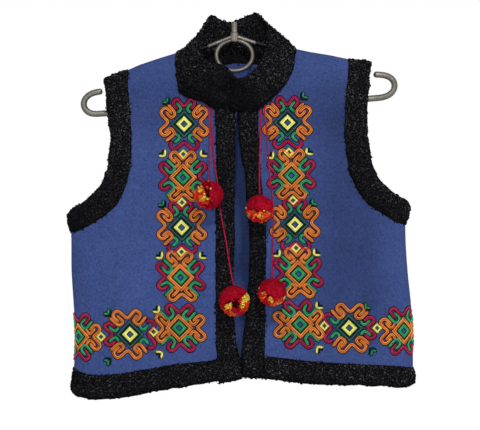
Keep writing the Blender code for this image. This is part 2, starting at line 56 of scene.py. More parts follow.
MM = 0.001
FELT = 2.0            # thickness of the felt
TUCK = 1.8            # how far a trim laps over the edge that it is sewn to
SIDE_SEAM = 1.90      # angle of the side seams round the body, a little behind the sides
SEAM_GAP = 0.003      # angle left open between a front and the back at a side seam
SEAM_CLEAR = 0.02     # angle before the side seam that the stitches leave free
SHOULDER_RISE = 150.0  # height over which the body narrows to the shoulder ridge
ROD_BAR = 4.25        # radius of the hanger's bar
ROD_ARM = 2.5         # radius of its arms
ROD_RING = 2.75       # radius of its ring's wire
CORD = 1.0            # radius of the cords
CORD_PLIES = 1.12     # how far their plies stand out, in shares of that radius
CORD_STEP, CORD_LOBES, CORD_PITCH = 0.9, 0.13, 0.85    # mesh step, depth and turn of the twist
ROD_STEP = 2.2        # mesh step along the hanger's rods

# The body by height: height, left side, right side, half of the depth from front to back
BODY = (
    (-520.0, -219.2, 240.8, 38.5),
    (-464.4, -216.4, 241.2, 38.5),
    (-434.7, -214.3, 241.0, 38.0),
    (-380.7, -216.9, 238.5, 37.0),
    (-337.5, -219.7, 234.1, 36.3),
    (-288.9, -220.2, 231.1, 35.6),
    (-259.2, -221.8, 230.8, 35.2),
    (-199.8, -223.2, 230.0, 34.8),
    (-118.8, -223.2, 229.1, 34.4),
    (0.0, -223.2, 229.1, 34.4),
)

# The shoulder ridge: across, height
RIDGE = (
    (-194.0, -90.0), (-175.9, -79.7), (-167.8, -74.6), (-154.3, -68.6), (-143.5, -64.8),
    (-127.3, -57.6), (-100.3, -48.6), (-78.7, -41.9), (-46.3, -33.1), (-19.3, -27.7),
    (2.3, -25.7), (27.9, -27.7), (54.9, -31.7), (83.3, -36.5), (102.2, -40.5),
    (129.2, -44.9), (153.5, -50.0), (164.3, -52.1), (175.1, -53.0), (185.9, -53.8), (200.0, -56.5),
)

# Side seams and front edges below the armholes, hem first:
# height at the side seam, front edge across, front edge height
SIDE_LEFT = (
    (-464.4, -22.9, -452.9),
    (-436.1, -24.0, -429.3),
    (-405.0, -24.7, -402.3),
    (-375.3, -24.7, -372.6),
    (-345.6, -24.7, -342.9),
    (-317.2, -24.7, -314.6),
)
SIDE_RIGHT = (
    (-465.0, 40.5, -450.9),
    (-434.7, 41.0, -426.6),
    (-402.3, 41.6, -399.6),
    (-369.9, 41.9, -369.9),
    (-337.5, 42.1, -340.2),
    (-306.5, 42.1, -310.5),
)

# Armholes from the shoulder ridge down the front: seam across, seam height, opening edge across,
# opening edge height, how much lower the back runs, and where this row of cloth meets the neck
# or the front band: across, height
ARMHOLE_LEFT = (
    (-143.5, -64.8, -178.4, -77.0, 0.0, -76.6, -41.4),
    (-143.5, -66.7, -177.8, -80.2, 0.0, -76.9, -44.6),
    (-143.5, -70.2, -176.8, -84.8, 0.0, -77.2, -51.3),
    (-143.4, -76.0, -175.3, -90.5, 0.0, -77.6, -62.1),
    (-142.6, -90.5, -174.3, -102.5, 0.0, -76.2, -78.3),
    (-140.8, -109.4, -172.9, -117.5, 0.0, -71.6, -95.9),
    (-138.8, -132.3, -170.5, -135.5, 0.0, -60.2, -102.6),
    (-137.6, -156.6, -167.8, -155.0, 0.0, -45.0, -107.2),
    (-137.7, -179.6, -169.2, -175.5, 0.0, -26.8, -118.2),
    (-140.1, -202.5, -171.9, -195.0, 0.4, -25.2, -137.0),
    (-146.2, -225.5, -178.3, -214.7, 1.0, -23.8, -160.0),
    (-157.0, -245.7, -190.0, -230.6, 1.8, -23.5, -184.0),
    (-173.2, -261.3, -203.2, -241.6, 2.8, -23.5, -208.0),
    (-193.5, -273.4, -216.4, -248.4, 4.0, -23.7, -232.0),
    (-209.7, -281.5, -223.2, -254.0, 5.5, -24.1, -255.0),
)
ARMHOLE_RIGHT = (
    (153.5, -50.0, 187.0, -53.8, 0.0, 81.2, -36.1),
    (153.5, -51.9, 186.8, -56.2, 0.0, 81.0, -39.2),
    (153.5, -55.4, 186.2, -60.4, 0.0, 80.4, -46.0),
    (153.3, -61.0, 185.1, -66.8, 0.0, 78.9, -57.4),
    (152.3, -77.0, 183.2, -81.5, 0.0, 74.6, -71.5),
    (150.5, -97.2, 181.6, -99.9, 0.0, 67.4, -85.1),
    (148.5, -121.5, 180.0, -121.5, 0.0, 56.6, -97.2),
    (147.8, -145.8, 180.5, -144.5, 0.0, 45.5, -107.0),
    (148.8, -170.1, 182.5, -167.4, 0.0, 32.4, -118.6),
    (152.6, -194.4, 186.0, -190.0, 0.4, 32.0, -136.0),
    (159.6, -217.4, 194.5, -209.6, 1.0, 32.6, -158.0),
    (171.0, -236.3, 207.6, -223.8, 1.8, 33.6, -182.0),
    (187.2, -251.8, 220.3, -232.9, 2.8, 35.4, -206.0),
    (206.1, -263.9, 232.6, -238.0, 4.0, 37.6, -228.0),
    (219.5, -270.7, 237.6, -243.6, 5.5, 39.6, -250.0),
)
# At the side itself: seam height, opening edge height, front edge across and height, and how far
# the trim stands out past the side
UNDERARM_LEFT = (-285.2, -257.8, -24.6, -278.0, 4.8)
UNDERARM_RIGHT = (-274.6, -248.4, 41.3, -272.0, 8.0)

# Front bands from the neck to the hem: seam across and height, opening edge across and height
BAND_LEFT = (
    (-26.6, -118.5, 3.4, -120.2),
    (-25.2, -137.0, 3.2, -137.0),
    (-23.8, -160.0, 2.8, -160.0),
    (-23.5, -184.0, 2.3, -184.0),
    (-23.5, -208.0, 2.3, -208.0),
    (-23.7, -232.0, 2.3, -232.0),
    (-24.1, -255.0, 2.2, -255.0),
    (-24.6, -278.0, 2.0, -278.0),
    (-24.7, -314.6, 1.6, -314.6),
    (-24.7, -342.9, 1.3, -342.9),
    (-24.7, -372.6, 1.5, -372.6),
    (-24.7, -402.3, 2.2, -402.3),
    (-24.0, -429.3, 3.4, -427.5),
    (-22.9, -452.9, 9.0, -450.5),
    (-20.9, -468.6, 12.2, -465.5),
    (-19.5, -483.7, 12.4, -477.6),
)
BAND_RIGHT = (
    (32.1, -119.0, 2.6, -120.5),
    (32.0, -136.0, 2.9, -136.0),
    (32.6, -158.0, 3.9, -158.0),
    (33.6, -182.0, 7.6, -182.0),
    (35.4, -206.0, 12.4, -206.0),
    (37.6, -228.0, 14.4, -228.0),
    (39.6, -250.0, 16.0, -250.0),
    (41.3, -272.0, 18.2, -272.0),
    (42.1, -310.5, 19.0, -310.5),
    (42.1, -340.2, 18.0, -340.2),
    (41.9, -369.9, 16.2, -369.9),
    (41.6, -399.6, 13.6, -399.6),
    (41.0, -426.6, 9.7, -426.6),
    (40.5, -450.9, 7.6, -450.0),
    (40.7, -465.4, 8.2, -463.8),
    (41.6, -478.4, 8.8, -475.4),
)

# Hem band, once round by the left: degrees from the front's middle, top edge, bottom edge
HEM = (
    (-7.4, -452.6, -483.2),
    (-12.9, -455.9, -486.4),
    (-18.2, -457.8, -490.9),
    (-23.6, -460.1, -493.4),
    (-29.3, -463.6, -497.0),
    (-35.3, -467.6, -501.4),
    (-41.8, -471.2, -505.8),
    (-48.9, -474.0, -508.4),
    (-57.2, -475.6, -509.4),
    (-65.5, -474.6, -508.6),
    (-74.0, -471.0, -505.0),
    (-82.0, -467.4, -501.6),
    (-90.0, -464.9, -498.6),
    (-98.0, -464.4, -496.6),
    (-108.9, -464.4, -494.8),
    (-125.0, -460.5, -490.6),
    (-142.0, -456.0, -486.0),
    (-161.0, -455.5, -482.5),
    (-180.0, -455.0, -480.5),
    (-199.0, -455.5, -481.0),
    (-218.0, -456.0, -482.5),
    (-235.0, -461.0, -486.0),
    (-251.1, -465.0, -488.0),
    (-262.0, -466.0, -488.6),
    (-270.0, -466.4, -489.6),
    (-278.0, -466.2, -491.2),
    (-287.0, -465.0, -493.8),
    (-295.0, -463.6, -493.6),
    (-303.4, -462.3, -492.0),
    (-314.0, -461.0, -490.4),
    (-323.8, -459.2, -489.4),
    (-333.0, -457.2, -488.8),
    (-341.1, -454.4, -486.0),
    (-347.4, -451.6, -483.3),
    (-352.6, -449.4, -479.8),
)
CURL_OUT = 1.6        # how far the curls stand out beyond a trim's own edge
HEM_FLARE = 3.0       # how far the hem's lower edge stands out
HEM_LAP = 0.5         # how far the felt stops above the hem band's own seam line
TRIM_STEP = 3.0       # size of the faces of a trim under its curls
END_TUCK = 1.6        # how far a band's ends carry on under what they meet
SEAM_EDGE, FREE_EDGE = 7.0, 3.2    # how square a trim's sewn and free edges are
LUMPS, LUMP_LONG, LUMP_HIGH, LUMP_FINE = 14, 11.0, 0.16, 0.45    # unevenness of a trim
COVER_SEAM = 0.25     # share of curls on a trim's very seam
CURLS_MOST = 260000.0     # curls to the square metre at most
CURL_START, CURL_SWEEP = -35.0, 235.0    # degrees at which a curl starts, and how far it goes
CURL_YARN = 0.50      # radius of a curl's yarn, in shares of the curl's own radius
CURL_LEAN = 0.6       # radians that a curl may lean either way
CURL_SIZES = (0.75, 1.25)      # the smallest and the largest curl, in shares of the set radius
# Painted shade: a curl's grey fades to black where the trim faces down, and a little where it faces
# left
CURL_FACING = (-0.3, 0.15)     # how far up a curl faces where it is all black, and all grey
CURL_TONES = (0.25, 1.0)       # the least and the most of that grey from curl to curl
FULL_TURN = 6.283     # radians of a full turn, as the random draws take it
SHARP_EDGE = 50.0     # degrees from which an edge of the felt is drawn sharp

# Soft waves of the hanging cloth: how high, how long across and up, where each starts, and how far
# it runs ahead on the back. The first grows from WAVE_TOP down
WAVES = ((1.0, 24.0, 210.0, 0.0, 0.8), (0.6, 41.0, -57.0, 1.9, 1.0), (0.35, 13.0, 33.0, 0.4, 0.0))
WAVE_TOP, WAVE_RUN = -150.0, 300.0
WAVE_DEPTH = 24.0     # half depth of the body under which the waves fade
LEAST_DEPTH, FLAT_DEPTH = 0.16, 0.2    # half depth at the very edge, and where it counts as flat

# Upright folds of the right front, a ridge and a valley: across, width, how far each stands out
FOLDS_RIGHT = ((203.0, 24.0, 4.5), (138.0, 30.0, -4.0))
FOLD_TOP, FOLD_TOP_FADE = -165.0, 60.0      # where they start below the shoulder, and how softly
FOLD_FOOT, FOLD_FOOT_FADE = -450.0, 70.0    # and where they end above the hem
# The back falls in behind the front opening: across, half width, depth; top, and how softly
HOLLOW_X, HOLLOW_WIDE, HOLLOW_DEEP = 8.0, 75.0, 10.0
HOLLOW_TOP, HOLLOW_FADE = -75.0, 90.0
# Heights over which a panel's rows bend to meet the hem, the front's top and the back's top
HEM_FADE, FRONT_FADE, BACK_FADE = 150.0, 60.0, 110.0

# Stand collar from the left front end round the back to the right front end:
# neck seam across and height, top edge across, height and depth
COLLAR = (
    (2.0, -120.0, 2.0, -77.5, -44.0),
    (-12.6, -119.2, -6.8, -66.8, -47.5),
    (-26.8, -118.2, -16.9, -59.6, -48.5),
    (-45.0, -107.2, -26.6, -59.2, -46.0),
    (-60.2, -102.6, -34.0, -58.0, -40.0),
    (-71.6, -95.9, -39.8, -53.2, -31.5),
    (-76.2, -78.3, -43.4, -43.8, -19.5),
    (-77.6, -62.1, -44.6, -31.6, -8.5),
    (-77.2, -51.3, -43.4, -21.8, -3.0),
    (-76.6, -41.4, -42.0, -12.0, 2.0),
    (-66.5, -45.2, -37.6, -0.2, 8.0),
    (-55.8, -50.2, -32.8, 10.8, 14.0),
    (-38.2, -58.8, -26.0, 9.4, 18.5),
    (-19.3, -58.6, -15.0, 3.6, 21.0),
    (0.9, -54.4, -1.8, 2.0, 22.0),
    (21.2, -55.6, 11.0, 7.4, 21.5),
    (40.1, -56.2, 21.6, 12.0, 19.5),
    (56.3, -51.0, 31.0, 13.2, 16.0),
    (68.6, -43.2, 38.6, 5.2, 9.5),
    (81.2, -36.1, 44.8, -6.6, 2.5),
    (80.4, -46.0, 43.6, -18.0, -3.0),
    (78.9, -57.4, 42.8, -28.4, -8.0),
    (74.6, -71.5, 40.6, -41.0, -17.5),
    (67.4, -85.1, 35.6, -54.0, -26.5),
    (56.6, -97.2, 28.2, -65.2, -38.0),
    (45.5, -107.0, 20.4, -73.2, -45.0),
    (32.4, -118.6, 13.4, -77.6, -49.0),
    (18.5, -119.8, 8.8, -79.0, -51.0),
    (1.0, -120.2, 3.4, -79.6, -51.8),
)
# How far the middle of each line of the collar swells outwards, and where an end laps over the
# other: line, outwards, across, forwards
COLLAR_SWELL = (
    (0, 0.5, 0.0, 4.0), (1, 2.0, 0.0, 2.4), (2, 5.0, 0.0, 1.0), (3, 7.0, 0.0, 0.0),
    (4, 8.0, 0.0, 0.0), (5, 7.5, 0.0, 0.0), (6, 5.0, 0.0, 0.0), (7, 2.5, 0.0, 0.0),
    (8, 0.5, 0.0, 0.0), (9, -1.2, 0.0, 0.0), (10, -0.8, 0.0, 0.0), (12, 0.0, 0.0, 0.0),
    (17, 0.8, 0.0, 0.0), (18, 2.2, 0.0, 0.0), (19, 2.8, 0.0, 0.0), (20, 3.2, 0.0, 0.0),
    (22, 5.0, 0.0, 0.0), (23, 7.0, 0.0, 0.0), (24, 7.5, 0.0, 0.0), (25, 6.5, 0.0, -0.4),
    (26, 5.0, 0.0, -1.4), (27, 2.5, -1.5, -2.4), (28, 0.5, -6.5, -2.8),
)
COLLAR_LIFT = 2.2     # how far the collar's lower edge stands off the fronts
COLLAR_BACK = (9, 19)  # the first and last of its lines behind the shoulder ridge
NECK_TUCK = 1.6       # how many times deeper it is sewn in there
NECK_BACK = COLLAR[COLLAR_BACK[0]:COLLAR_BACK[1] + 1]   # the rows that stand on the back panel

# Pompoms: name, across, depth, height, radius
POMPOMS = (
    ("pompom_1", -33.5, -55.4, -234.2, 19.4),
    ("pompom_2", 0.3, -59.6, -374.1, 20.6),
    ("pompom_3", 34.0, -56.6, -252.5, 18.8),
    ("pompom_4", 50.2, -56.8, -363.0, 19.0),
)

# Cords from the collar seam down to the pompoms: across, depth, height
CORDS = (
    ("cord_1", (
        (-36.9, -31.2, -113.2), (-34.2, -33.0, -122.0), (-32.6, -36.0, -139.1),
        (-32.4, -42.0, -166.1), (-32.8, -48.4, -193.1), (-33.2, -55.4, -214.5),
    )),
    ("cord_2", (
        (-30.1, -31.7, -117.2), (-30.0, -32.6, -126.0), (-30.3, -34.0, -139.1),
        (-29.2, -35.8, -159.3), (-26.1, -38.0, -193.1), (-22.6, -38.8, -216.0),
        (-18.6, -39.2, -252.5), (-11.2, -45.2, -294.3), (-5.8, -52.2, -328.1),
        (-0.8, -59.4, -353.8),
    )),
    ("cord_3", (
        (34.9, -32.4, -118.8), (34.9, -34.4, -139.1), (34.1, -42.0, -172.8),
        (33.5, -50.0, -206.6), (33.8, -56.6, -233.4),
    )),
    ("cord_4", (
        (41.4, -31.2, -112.2), (40.6, -33.6, -127.0), (43.6, -34.7, -152.6),
        (44.6, -35.5, -172.8), (46.4, -35.8, -193.1), (48.0, -36.1, -213.3),
        (51.0, -36.9, -240.3), (52.0, -41.0, -267.3), (51.4, -47.4, -294.3),
        (50.5, -56.6, -343.3),
    )),
)

# The hanger's bar with its two upturned ends, and its arms: across, height
BAR = (
    (-177.7, -93.5), (-184.2, -94.3), (-189.4, -95.4), (-193.8, -96.9), (-197.5, -99.2),
    (-200.6, -102.2), (-202.7, -105.6), (-203.6, -109.4), (-203.3, -113.6), (-201.6, -117.8),
    (-198.6, -121.0), (-194.8, -123.4), (-190.1, -124.2), (-184.0, -124.0), (-171.9, -123.2),
    (0.9, -113.9), (180.5, -103.8), (192.0, -102.8), (199.0, -102.1), (205.0, -100.6),
    (210.0, -98.0), (213.8, -94.2), (216.2, -89.6), (216.8, -84.8), (215.4, -80.0),
    (212.4, -76.1), (208.2, -73.6), (203.0, -72.0), (196.7, -71.2), (187.6, -70.9),
)
ARM_LEFT = (
    (-3.0, -20.2), (-20.0, -26.8), (-33.5, -32.2), (-60.0, -41.4), (-78.7, -46.9),
    (-100.3, -53.8), (-114.0, -58.3), (-123.0, -62.6), (-130.0, -68.6), (-135.6, -77.0),
    (-139.6, -88.0), (-142.8, -117.3),
)
ARM_RIGHT = (
    (3.0, -19.8), (16.0, -24.2), (27.3, -27.8), (54.0, -35.0), (83.3, -41.8),
    (102.2, -45.7), (126.0, -49.8), (135.0, -53.4), (142.6, -59.6), (147.6, -68.0),
    (150.4, -79.0), (152.1, -100.4),
)
ARM_FORWARD = 2.0     # how far the arms stand in front of the bar at the stem
ARM_BLACK_FROM = (-34.0, 27.5)   # the arms' steel turns black beyond these places across
ARM_BLACK_FADE = 2.0        # how softly the black begins
# The stem, its weld sleeve and their rounded ends: height, radius
STEM = ((0.0, 3.9), (-13.6, 3.9), (-15.4, 5.4), (-25.6, 5.4), (-27.0, 4.6))
STEM_RINGS = (*np.linspace(0.0, -13.6, 12), *np.linspace(-14.2, -25.6, 16), -26.4, -27.0)
STEM_ROUNDING = 0.6   # how much narrower the stem's top ring is
RING_CENTRE = (0.3, 0.5, -45.2)
RING_RADIUS = (24.9, 20.8)   # across and up
RING_START = 7.0      # degrees from the top where the ring's wire starts

# Where the columns of a front's cloth run between its side and its front edge, in shares
FRONT_STEPS = (0.0, 0.04, 0.08, 0.12, 0.165, 0.215, 0.27, 0.34, 0.42, 0.51, 0.61, 0.73, 0.86, 1.0)
BACK_STEPS = (0.0, 0.07, 0.15, 0.25, 0.4, 0.6, 0.8)   # the same from each side to the back's neck
# Each felt panel's flat width and length, and area, in metres and square metres
FLAT_FRONT_LEFT = ((0.245, 0.425), 0.0740)
FLAT_FRONT_RIGHT = ((0.245, 0.430), 0.0740)
FLAT_BACK = ((0.480, 0.435), 0.1650)

# Charts of the embroidery. One unit is one stitch of the chart; across, up from the motif's middle.
# Each line: thread, half width, True where it is mirrored to the other side, kind, points. A ring
# is worked as straight sides, a leaf is pointed at both ends, and a line has round ends
MOTIF_SUN = (
    ("yellow", 1.25, False, "ring", ((0, 6.2), (6.2, 0), (0, -6.2), (-6.2, 0))),
    ("teal", 1.6, False, "ring", ((0, 9.7), (9.7, 0), (0, -9.7), (-9.7, 0))),
    ("grey", 0.5, False, "ring", ((0, 12.3), (12.3, 0), (0, -12.3), (-12.3, 0))),
    ("crimson", 0.94, True, "line", (
        (0, 17.5), (-3.5, 21.5), (-6.5, 25.4), (-9.3, 24.5), (-10.8, 21), (-9.3, 18),
        (-6.9, 15.4))),
    ("green", 0.88, True, "line", (
        (-7.3, 20.8), (-4.3, 17.6), (-3.3, 14.9), (-4.8, 12.8), (-6.8, 11.6))),
    ("green", 0.88, True, "line", (
        (-8.8, -10.2), (-5.8, -11.4), (-4.8, -13.9), (-6.3, -15.9), (-9.3, -18.4))),
    ("crimson", 0.94, True, "line", (
        (0, -17.7), (-4, -21.4), (-7.8, -24.4), (-10.3, -25), (-12.8, -23.4), (-13.8, -20.4),
        (-12.3, -17.9))),
    ("orange", 1.0, True, "line", (
        (-12.5, 10.8), (-15.8, 14.6), (-18.8, 16.3), (-21.8, 14.6), (-23.3, 11.6), (-21.3, 8.1),
        (-18.3, 5.1), (-16.5, 2.6), (-17.3, 0.1), (-21.3, -3.4), (-23.4, -5.4), (-23.8, -7.6),
        (-21.8, -10.6), (-19.3, -11.4), (-16.3, -9.9), (-13.3, -7.1))),
    ("orange", 0.94, True, "line", (
        (-18, 11.9), (-15.3, 8.6), (-12.5, 6.6), (-9.5, 9.1), (-9.7, 12.1), (-12.3, 15.6),
        (-16, 19.3))),
    ("orange", 0.94, True, "line", (
        (-19.3, -8.4), (-16.3, -5.9), (-13.8, -4.1), (-10.8, -6.7), (-9.8, -9.9), (-13.8, -13.6),
        (-17.8, -16.9))),
)
MOTIF_STAR = (
    ("orange", 1.22, False, "ring", ((0, 11.9), (11.9, 0), (0, -11.9), (-11.9, 0))),
    ("green", 0.96, False, "ring", ((0, 5.6), (5.6, 0), (0, -5.6), (-5.6, 0))),
    ("orange", 1.0, True, "line", (
        (0, 17.6), (-4, 22.4), (-8, 25.6), (-11.3, 23.8), (-12.3, 20.6), (-10, 17.3), (-7, 14.7))),
    ("orange", 1.0, True, "line", (
        (-8.5, 20.1), (-5.5, 17.3), (-3.2, 14.6), (-4.7, 12.2), (-7.7, 10.6))),
    ("orange", 1.0, True, "line", (
        (0, -16.2), (-4, -19.2), (-8.5, -22.9), (-12.3, -21.6), (-13.8, -18.7), (-12.3, -15.7),
        (-8.7, -12.4))),
    ("orange", 1.0, True, "line", (
        (-9.5, -18.6), (-6, -15.6), (-3.6, -13), (-5.2, -11.2), (-8, -9.6))),
    ("crimson", 0.94, True, "line", (
        (-13, 9.3), (-16.5, 12.3), (-19, 14.6), (-21.5, 13.3), (-22.8, 10.3), (-21, 7.3),
        (-17.5, 3.8), (-16.1, 1.3), (-17, -1.2), (-20.5, -4.2), (-22.9, -7.2), (-22.5, -9.7),
        (-20, -11.7), (-17, -11.2), (-14, -8.4))),
    ("green", 0.88, True, "line", (
        (-15.7, 17.3), (-12.5, 14.3), (-9, 10.8), (-8.2, 8.3), (-10, 5.8), (-12.5, 4.7), (-15, 6.3),
        (-18, 10))),
    ("green", 0.88, True, "line", (
        (-20, -7.7), (-16.5, -5.7), (-14, -4.9), (-11, -6.7), (-9, -9.5), (-10.5, -12.7),
        (-13.5, -15.2), (-16.5, -18.2))),
)
MOTIF_DOT = (("yellow", 0.66, False, "ring", ((0, 3.8), (3.8, 0), (0, -3.8), (-3.8, 0))),)
TICK_YELLOW = (
    ("teal", 0.55, False, "leaf", ((0.7, -0.6), (0.8, 1.4), (0.6, 3.6))),
    ("teal", 0.55, False, "leaf", ((0.8, -0.8), (-1.2, -0.5), (-3.4, -0.1))),
    ("yellow", 1.0, False, "leaf", ((1.6, -2.5), (1.8, 0.8), (2.1, 4.3))),
    ("yellow", 1.0, False, "leaf", ((2.1, -2.0), (-1.0, -1.8), (-4.2, -1.7))))
TICK_GREEN = (
    ("teal", 0.6, False, "leaf", ((2.3, -2.7), (2.5, -0.4), (2.8, 2.4))),
    ("teal", 0.6, False, "leaf", ((2.6, -2.4), (0.2, -2.5), (-2.6, -2.3))),
    ("green", 0.68, False, "leaf", ((0.9, -1.6), (1.1, 0.8), (1.5, 3.7))),
    ("green", 0.68, False, "leaf", ((1.3, -1.3), (-1.2, -1.2), (-3.9, -1.1))))
CHART_STEP = 1.335    # millimetres to one unit of a chart
LINE_WIDE = 1.06      # how much wider the curled lines are worked than charted
CORNER_LAP = 0.55     # how far a ring's sides lap at its corners, in half widths
STITCH_LIFT = 0.15    # how far the stitches stand off the felt
STITCH_PLY, STITCH_ARCH = 0.42, 1.5     # radius of a stitch's thread, and how its arch is drawn up
STITCH_WIDE, STITCH_HIGH = 2.4, 2.5     # width and height of a stitch, in thread radii
STITCH_LEAN = 0.22    # radians that a stitch leans from straight across
# Section of the painted shade edge under a stroke: across in shares of its width, height over the
# felt
SHADE_EDGE_SECTION = ((1.0, 0.12), (0.0, 0.35), (-1.0, 0.12), (0.0, -0.40))
EDGE_REACH = 2.0      # marks the painted shade edges as beyond the ends of the stitches, so they take the thread's painted shade colour
PATH_STEP = 0.55      # units of the chart between two points of a stroke's path

# Where each motif is sewn: chart, across, height, quarter turns, seen from the front
SEWN_MOTIFS = (
    (MOTIF_SUN, -67.0, -139.2, 0), (MOTIF_STAR, -68.3, -210.6, 0), (MOTIF_SUN, -70.3, -277.3, 0),
    (MOTIF_STAR, -71.7, -344.0, 0), (MOTIF_STAR, -73.3, -411.3, 3),
    (MOTIF_SUN, -139.2, -420.2, 1), (MOTIF_STAR, -209.8, -424.4, 3),
    (MOTIF_SUN, 71.1, -137.2, 0), (MOTIF_STAR, 76.4, -207.9, 0), (MOTIF_SUN, 81.1, -273.3, 0),
    (MOTIF_STAR, 85.7, -339.3, 0), (MOTIF_STAR, 87.7, -406.7, 1),
    (MOTIF_SUN, 153.7, -411.6, 3), (MOTIF_STAR, 227.9, -416.2, 1),
    (MOTIF_DOT, -67.9, -179.6, 0), (MOTIF_DOT, -69.7, -243.9, 0), (MOTIF_DOT, -70.3, -310.0, 0),
    (MOTIF_DOT, -107.7, -416.7, 0), (MOTIF_DOT, -178.3, -423.8, 0),
    (MOTIF_DOT, 73.1, -177.2, 0), (MOTIF_DOT, 78.4, -241.3, 0), (MOTIF_DOT, 82.4, -304.6, 0),
    (MOTIF_DOT, 120.4, -408.7, 0), (MOTIF_DOT, 191.1, -411.9, 0),
    (TICK_GREEN, -91.1, -108.4, 0), (TICK_YELLOW, -95.1, -179.2, 0),
    (TICK_YELLOW, -41.7, -179.2, 3), (TICK_GREEN, -96.4, -245.9, 0),
    (TICK_YELLOW, -99.1, -315.3, 0), (TICK_YELLOW, -43.0, -315.3, 3),
    (TICK_YELLOW, -103.1, -387.4, 0), (TICK_YELLOW, -99.1, -446.1, 1),
    (TICK_GREEN, -169.8, -391.4, 0), (TICK_GREEN, -169.8, -456.8, 1),
    (TICK_GREEN, 93.8, -101.8, 3), (TICK_YELLOW, 99.1, -176.5, 3), (TICK_YELLOW, 49.1, -181.9, 0),
    (TICK_GREEN, 105.8, -244.6, 3), (TICK_YELLOW, 109.1, -311.3, 3), (TICK_YELLOW, 57.8, -312.7, 0),
    (TICK_YELLOW, 112.5, -382.1, 3), (TICK_YELLOW, 113.1, -439.4, 2),
    (TICK_GREEN, 177.2, -383.4, 3), (TICK_GREEN, 185.2, -443.5, 2),
)

# Pompoms: the middle of the smooth crimson cap and how far round it reaches in degrees, the middle
# of the hollow, whose ends are painted dark as shade, and its reach, and the dyes of the cut ends
# round it. A dye is across and up in shares of the radius, seen from the front, and its tone in the
# wool's ramp
POMPOM_DYES = (
    ((1.00, -0.03, 0.05), 80.0, (0.00, -0.98, 0.14), 21.0, (
        (-0.62, 0.35, 1.0), (-0.28, 0.0, 1.0), (-0.45, 0.20, 0.62), (-0.83, 0.49, 0.55),
        (-0.73, 0.07, 0.44), (-0.85, -0.15, 0.52), (-0.6, -0.3, 0.80), (-0.5, -0.62, 0.42),
        (0.0, -0.8, 0.30), (-0.2, -0.6, 0.50), (-0.5, 0.72, 0.28), (-0.1, 0.85, 0.26))),
    ((-0.39, -0.01, 0.92), 80.0, (0.10, -0.94, -0.31), 22.0, (
        (-0.55, -0.02, 0.37), (-0.80, -0.25, 0.42), (-0.54, -0.42, 1.0), (-0.35, -0.35, 0.98),
        (-0.5, -0.75, 0.54), (-0.1, -0.85, 0.66), (0.1, -0.7, 0.30), (0.35, -0.85, 0.44),
        (0.62, -0.62, 0.50), (0.80, -0.30, 0.55), (0.72, 0.10, 1.0), (0.62, -0.15, 0.98),
        (0.44, 0.22, 0.42), (0.2, 0.05, 0.34))),
    ((0.00, -0.31, 0.95), 80.0, (0.05, -0.25, -0.97), 18.0, (
        (-0.80, 0.0, 0.40), (-0.62, -0.25, 0.62), (-0.45, -0.5, 0.74), (-0.6, -0.65, 0.44),
        (-0.25, -0.42, 0.52), (-0.08, -0.55, 1.0), (0.18, -0.6, 0.66), (0.35, -0.45, 0.50),
        (0.6, -0.40, 0.74), (0.8, -0.25, 0.44), (0.35, -0.8, 0.46), (0.0, -0.9, 0.34),
        (0.15, -0.35, 0.84))),
    ((0.33, -0.43, 0.84), 78.0, (-0.35, -0.85, -0.25), 9.0, (
        (-0.9, 0.12, 0.38), (-0.74, -0.25, 0.54), (-0.55, -0.35, 0.76), (-0.35, -0.38, 0.46),
        (-0.45, -0.62, 0.42), (-0.1, -0.52, 0.96), (0.0, -0.74, 1.0), (0.2, -0.55, 0.40),
        (0.52, -0.60, 0.55), (0.14, -0.88, 0.68), (0.4, -0.82, 0.78), (-0.2, -0.75, 0.50),
        (-0.3, -0.88, 0.34))),
)
TUFTS = 900           # cut ends and cap strands over a whole pompom
TUFT_TURN = 2.399963  # radians from one strand to the next, the golden angle
STRAY_DYES = (0.28, 0.42, 0.54, 0.70, 1.0)   # tones of the cut ends away from every charted dye
POMPOM_RINGS, POMPOM_AROUND = 24, 56    # mesh of the ball under the strands
CAP_REACH, CORE_REACH = 0.95, 0.66      # how far out it is under the cap and under the cut ends
# The core tone is painted shade: the ball under the cut ends is drawn near black
CAP_TONE, CORE_TONE = 0.25, 0.03        # and its tones there

# Where painted shade darkens the felt on the front, in millimetres. Each edge goes from no effect
# to
# the full one: across from the left, across from the right, from below, from above
SHADE_RIGHT = ((75.0, 135.0), (225.0, 180.0), (-465.0, -400.0), (-70.0, -135.0))
SHADE_YOKE = ((-175.0, -135.0), (-50.0, -95.0))      # from below, from above
SHADE_FRONT = (0.0, -15.0)                           # from the sides' depth to the front's
# How dark that painted shade is on the right front and on the yoke
SHADE_RIGHT_DARK, SHADE_YOKE_DARK = 0.33, 0.18
# Painted shade: the yarn's highlight specks are fainter where the collar stands furthest forward:
# depths and shares
SHADE_DEPTHS, SHADE_SHARES = (-54.0, -45.5), (0.3, 1.0)
# The grey of the painted highlight specks on the curls
SPECK_HIGHLIGHT = (0.108, 0.108, 0.121)      # the grey of the boucle's specks
RUST = (0.060, 0.040, 0.026)
ARM_BLACK = (0.004, 0.004, 0.005)
BLACK = (0.0, 0.0, 0.0)

# First numbers of the random draws
SEED_POMPOMS, SEED_TRIMS, SEED_THREADS = 11, 21, 41

# The studio, in metres
CAMERA_SPOT = (0.0077, -3.0, -0.2606)
CAMERA_LENS = 166.67
FLOOR_Z, FLOOR_REACH = -1.05, 2.9
LIT_SPOT = (0.0, 0.0, -0.26)       # what every light faces
LIGHT_COLOUR = (1.0, 0.985, 0.96)
LIGHTS = (      # name, place, size, power in watts
    ("key", (0.44, -2.67, 2.10), 0.45, 83.0),
    ("fill", (-0.05, -2.90, 0.0), 0.3, 29.0),
    ("left", (-2.6, -1.2, 0.5), 0.8, 16.0),
    ("right", (2.6, -0.9, 0.5), 0.8, 25.0),
    ("back", (-0.9, 2.4, 0.7), 1.2, 45.0),
)
SKY_LIGHT, SKY_SEEN = 0.2, 0.8     # the white surroundings as a light, and what the camera adds


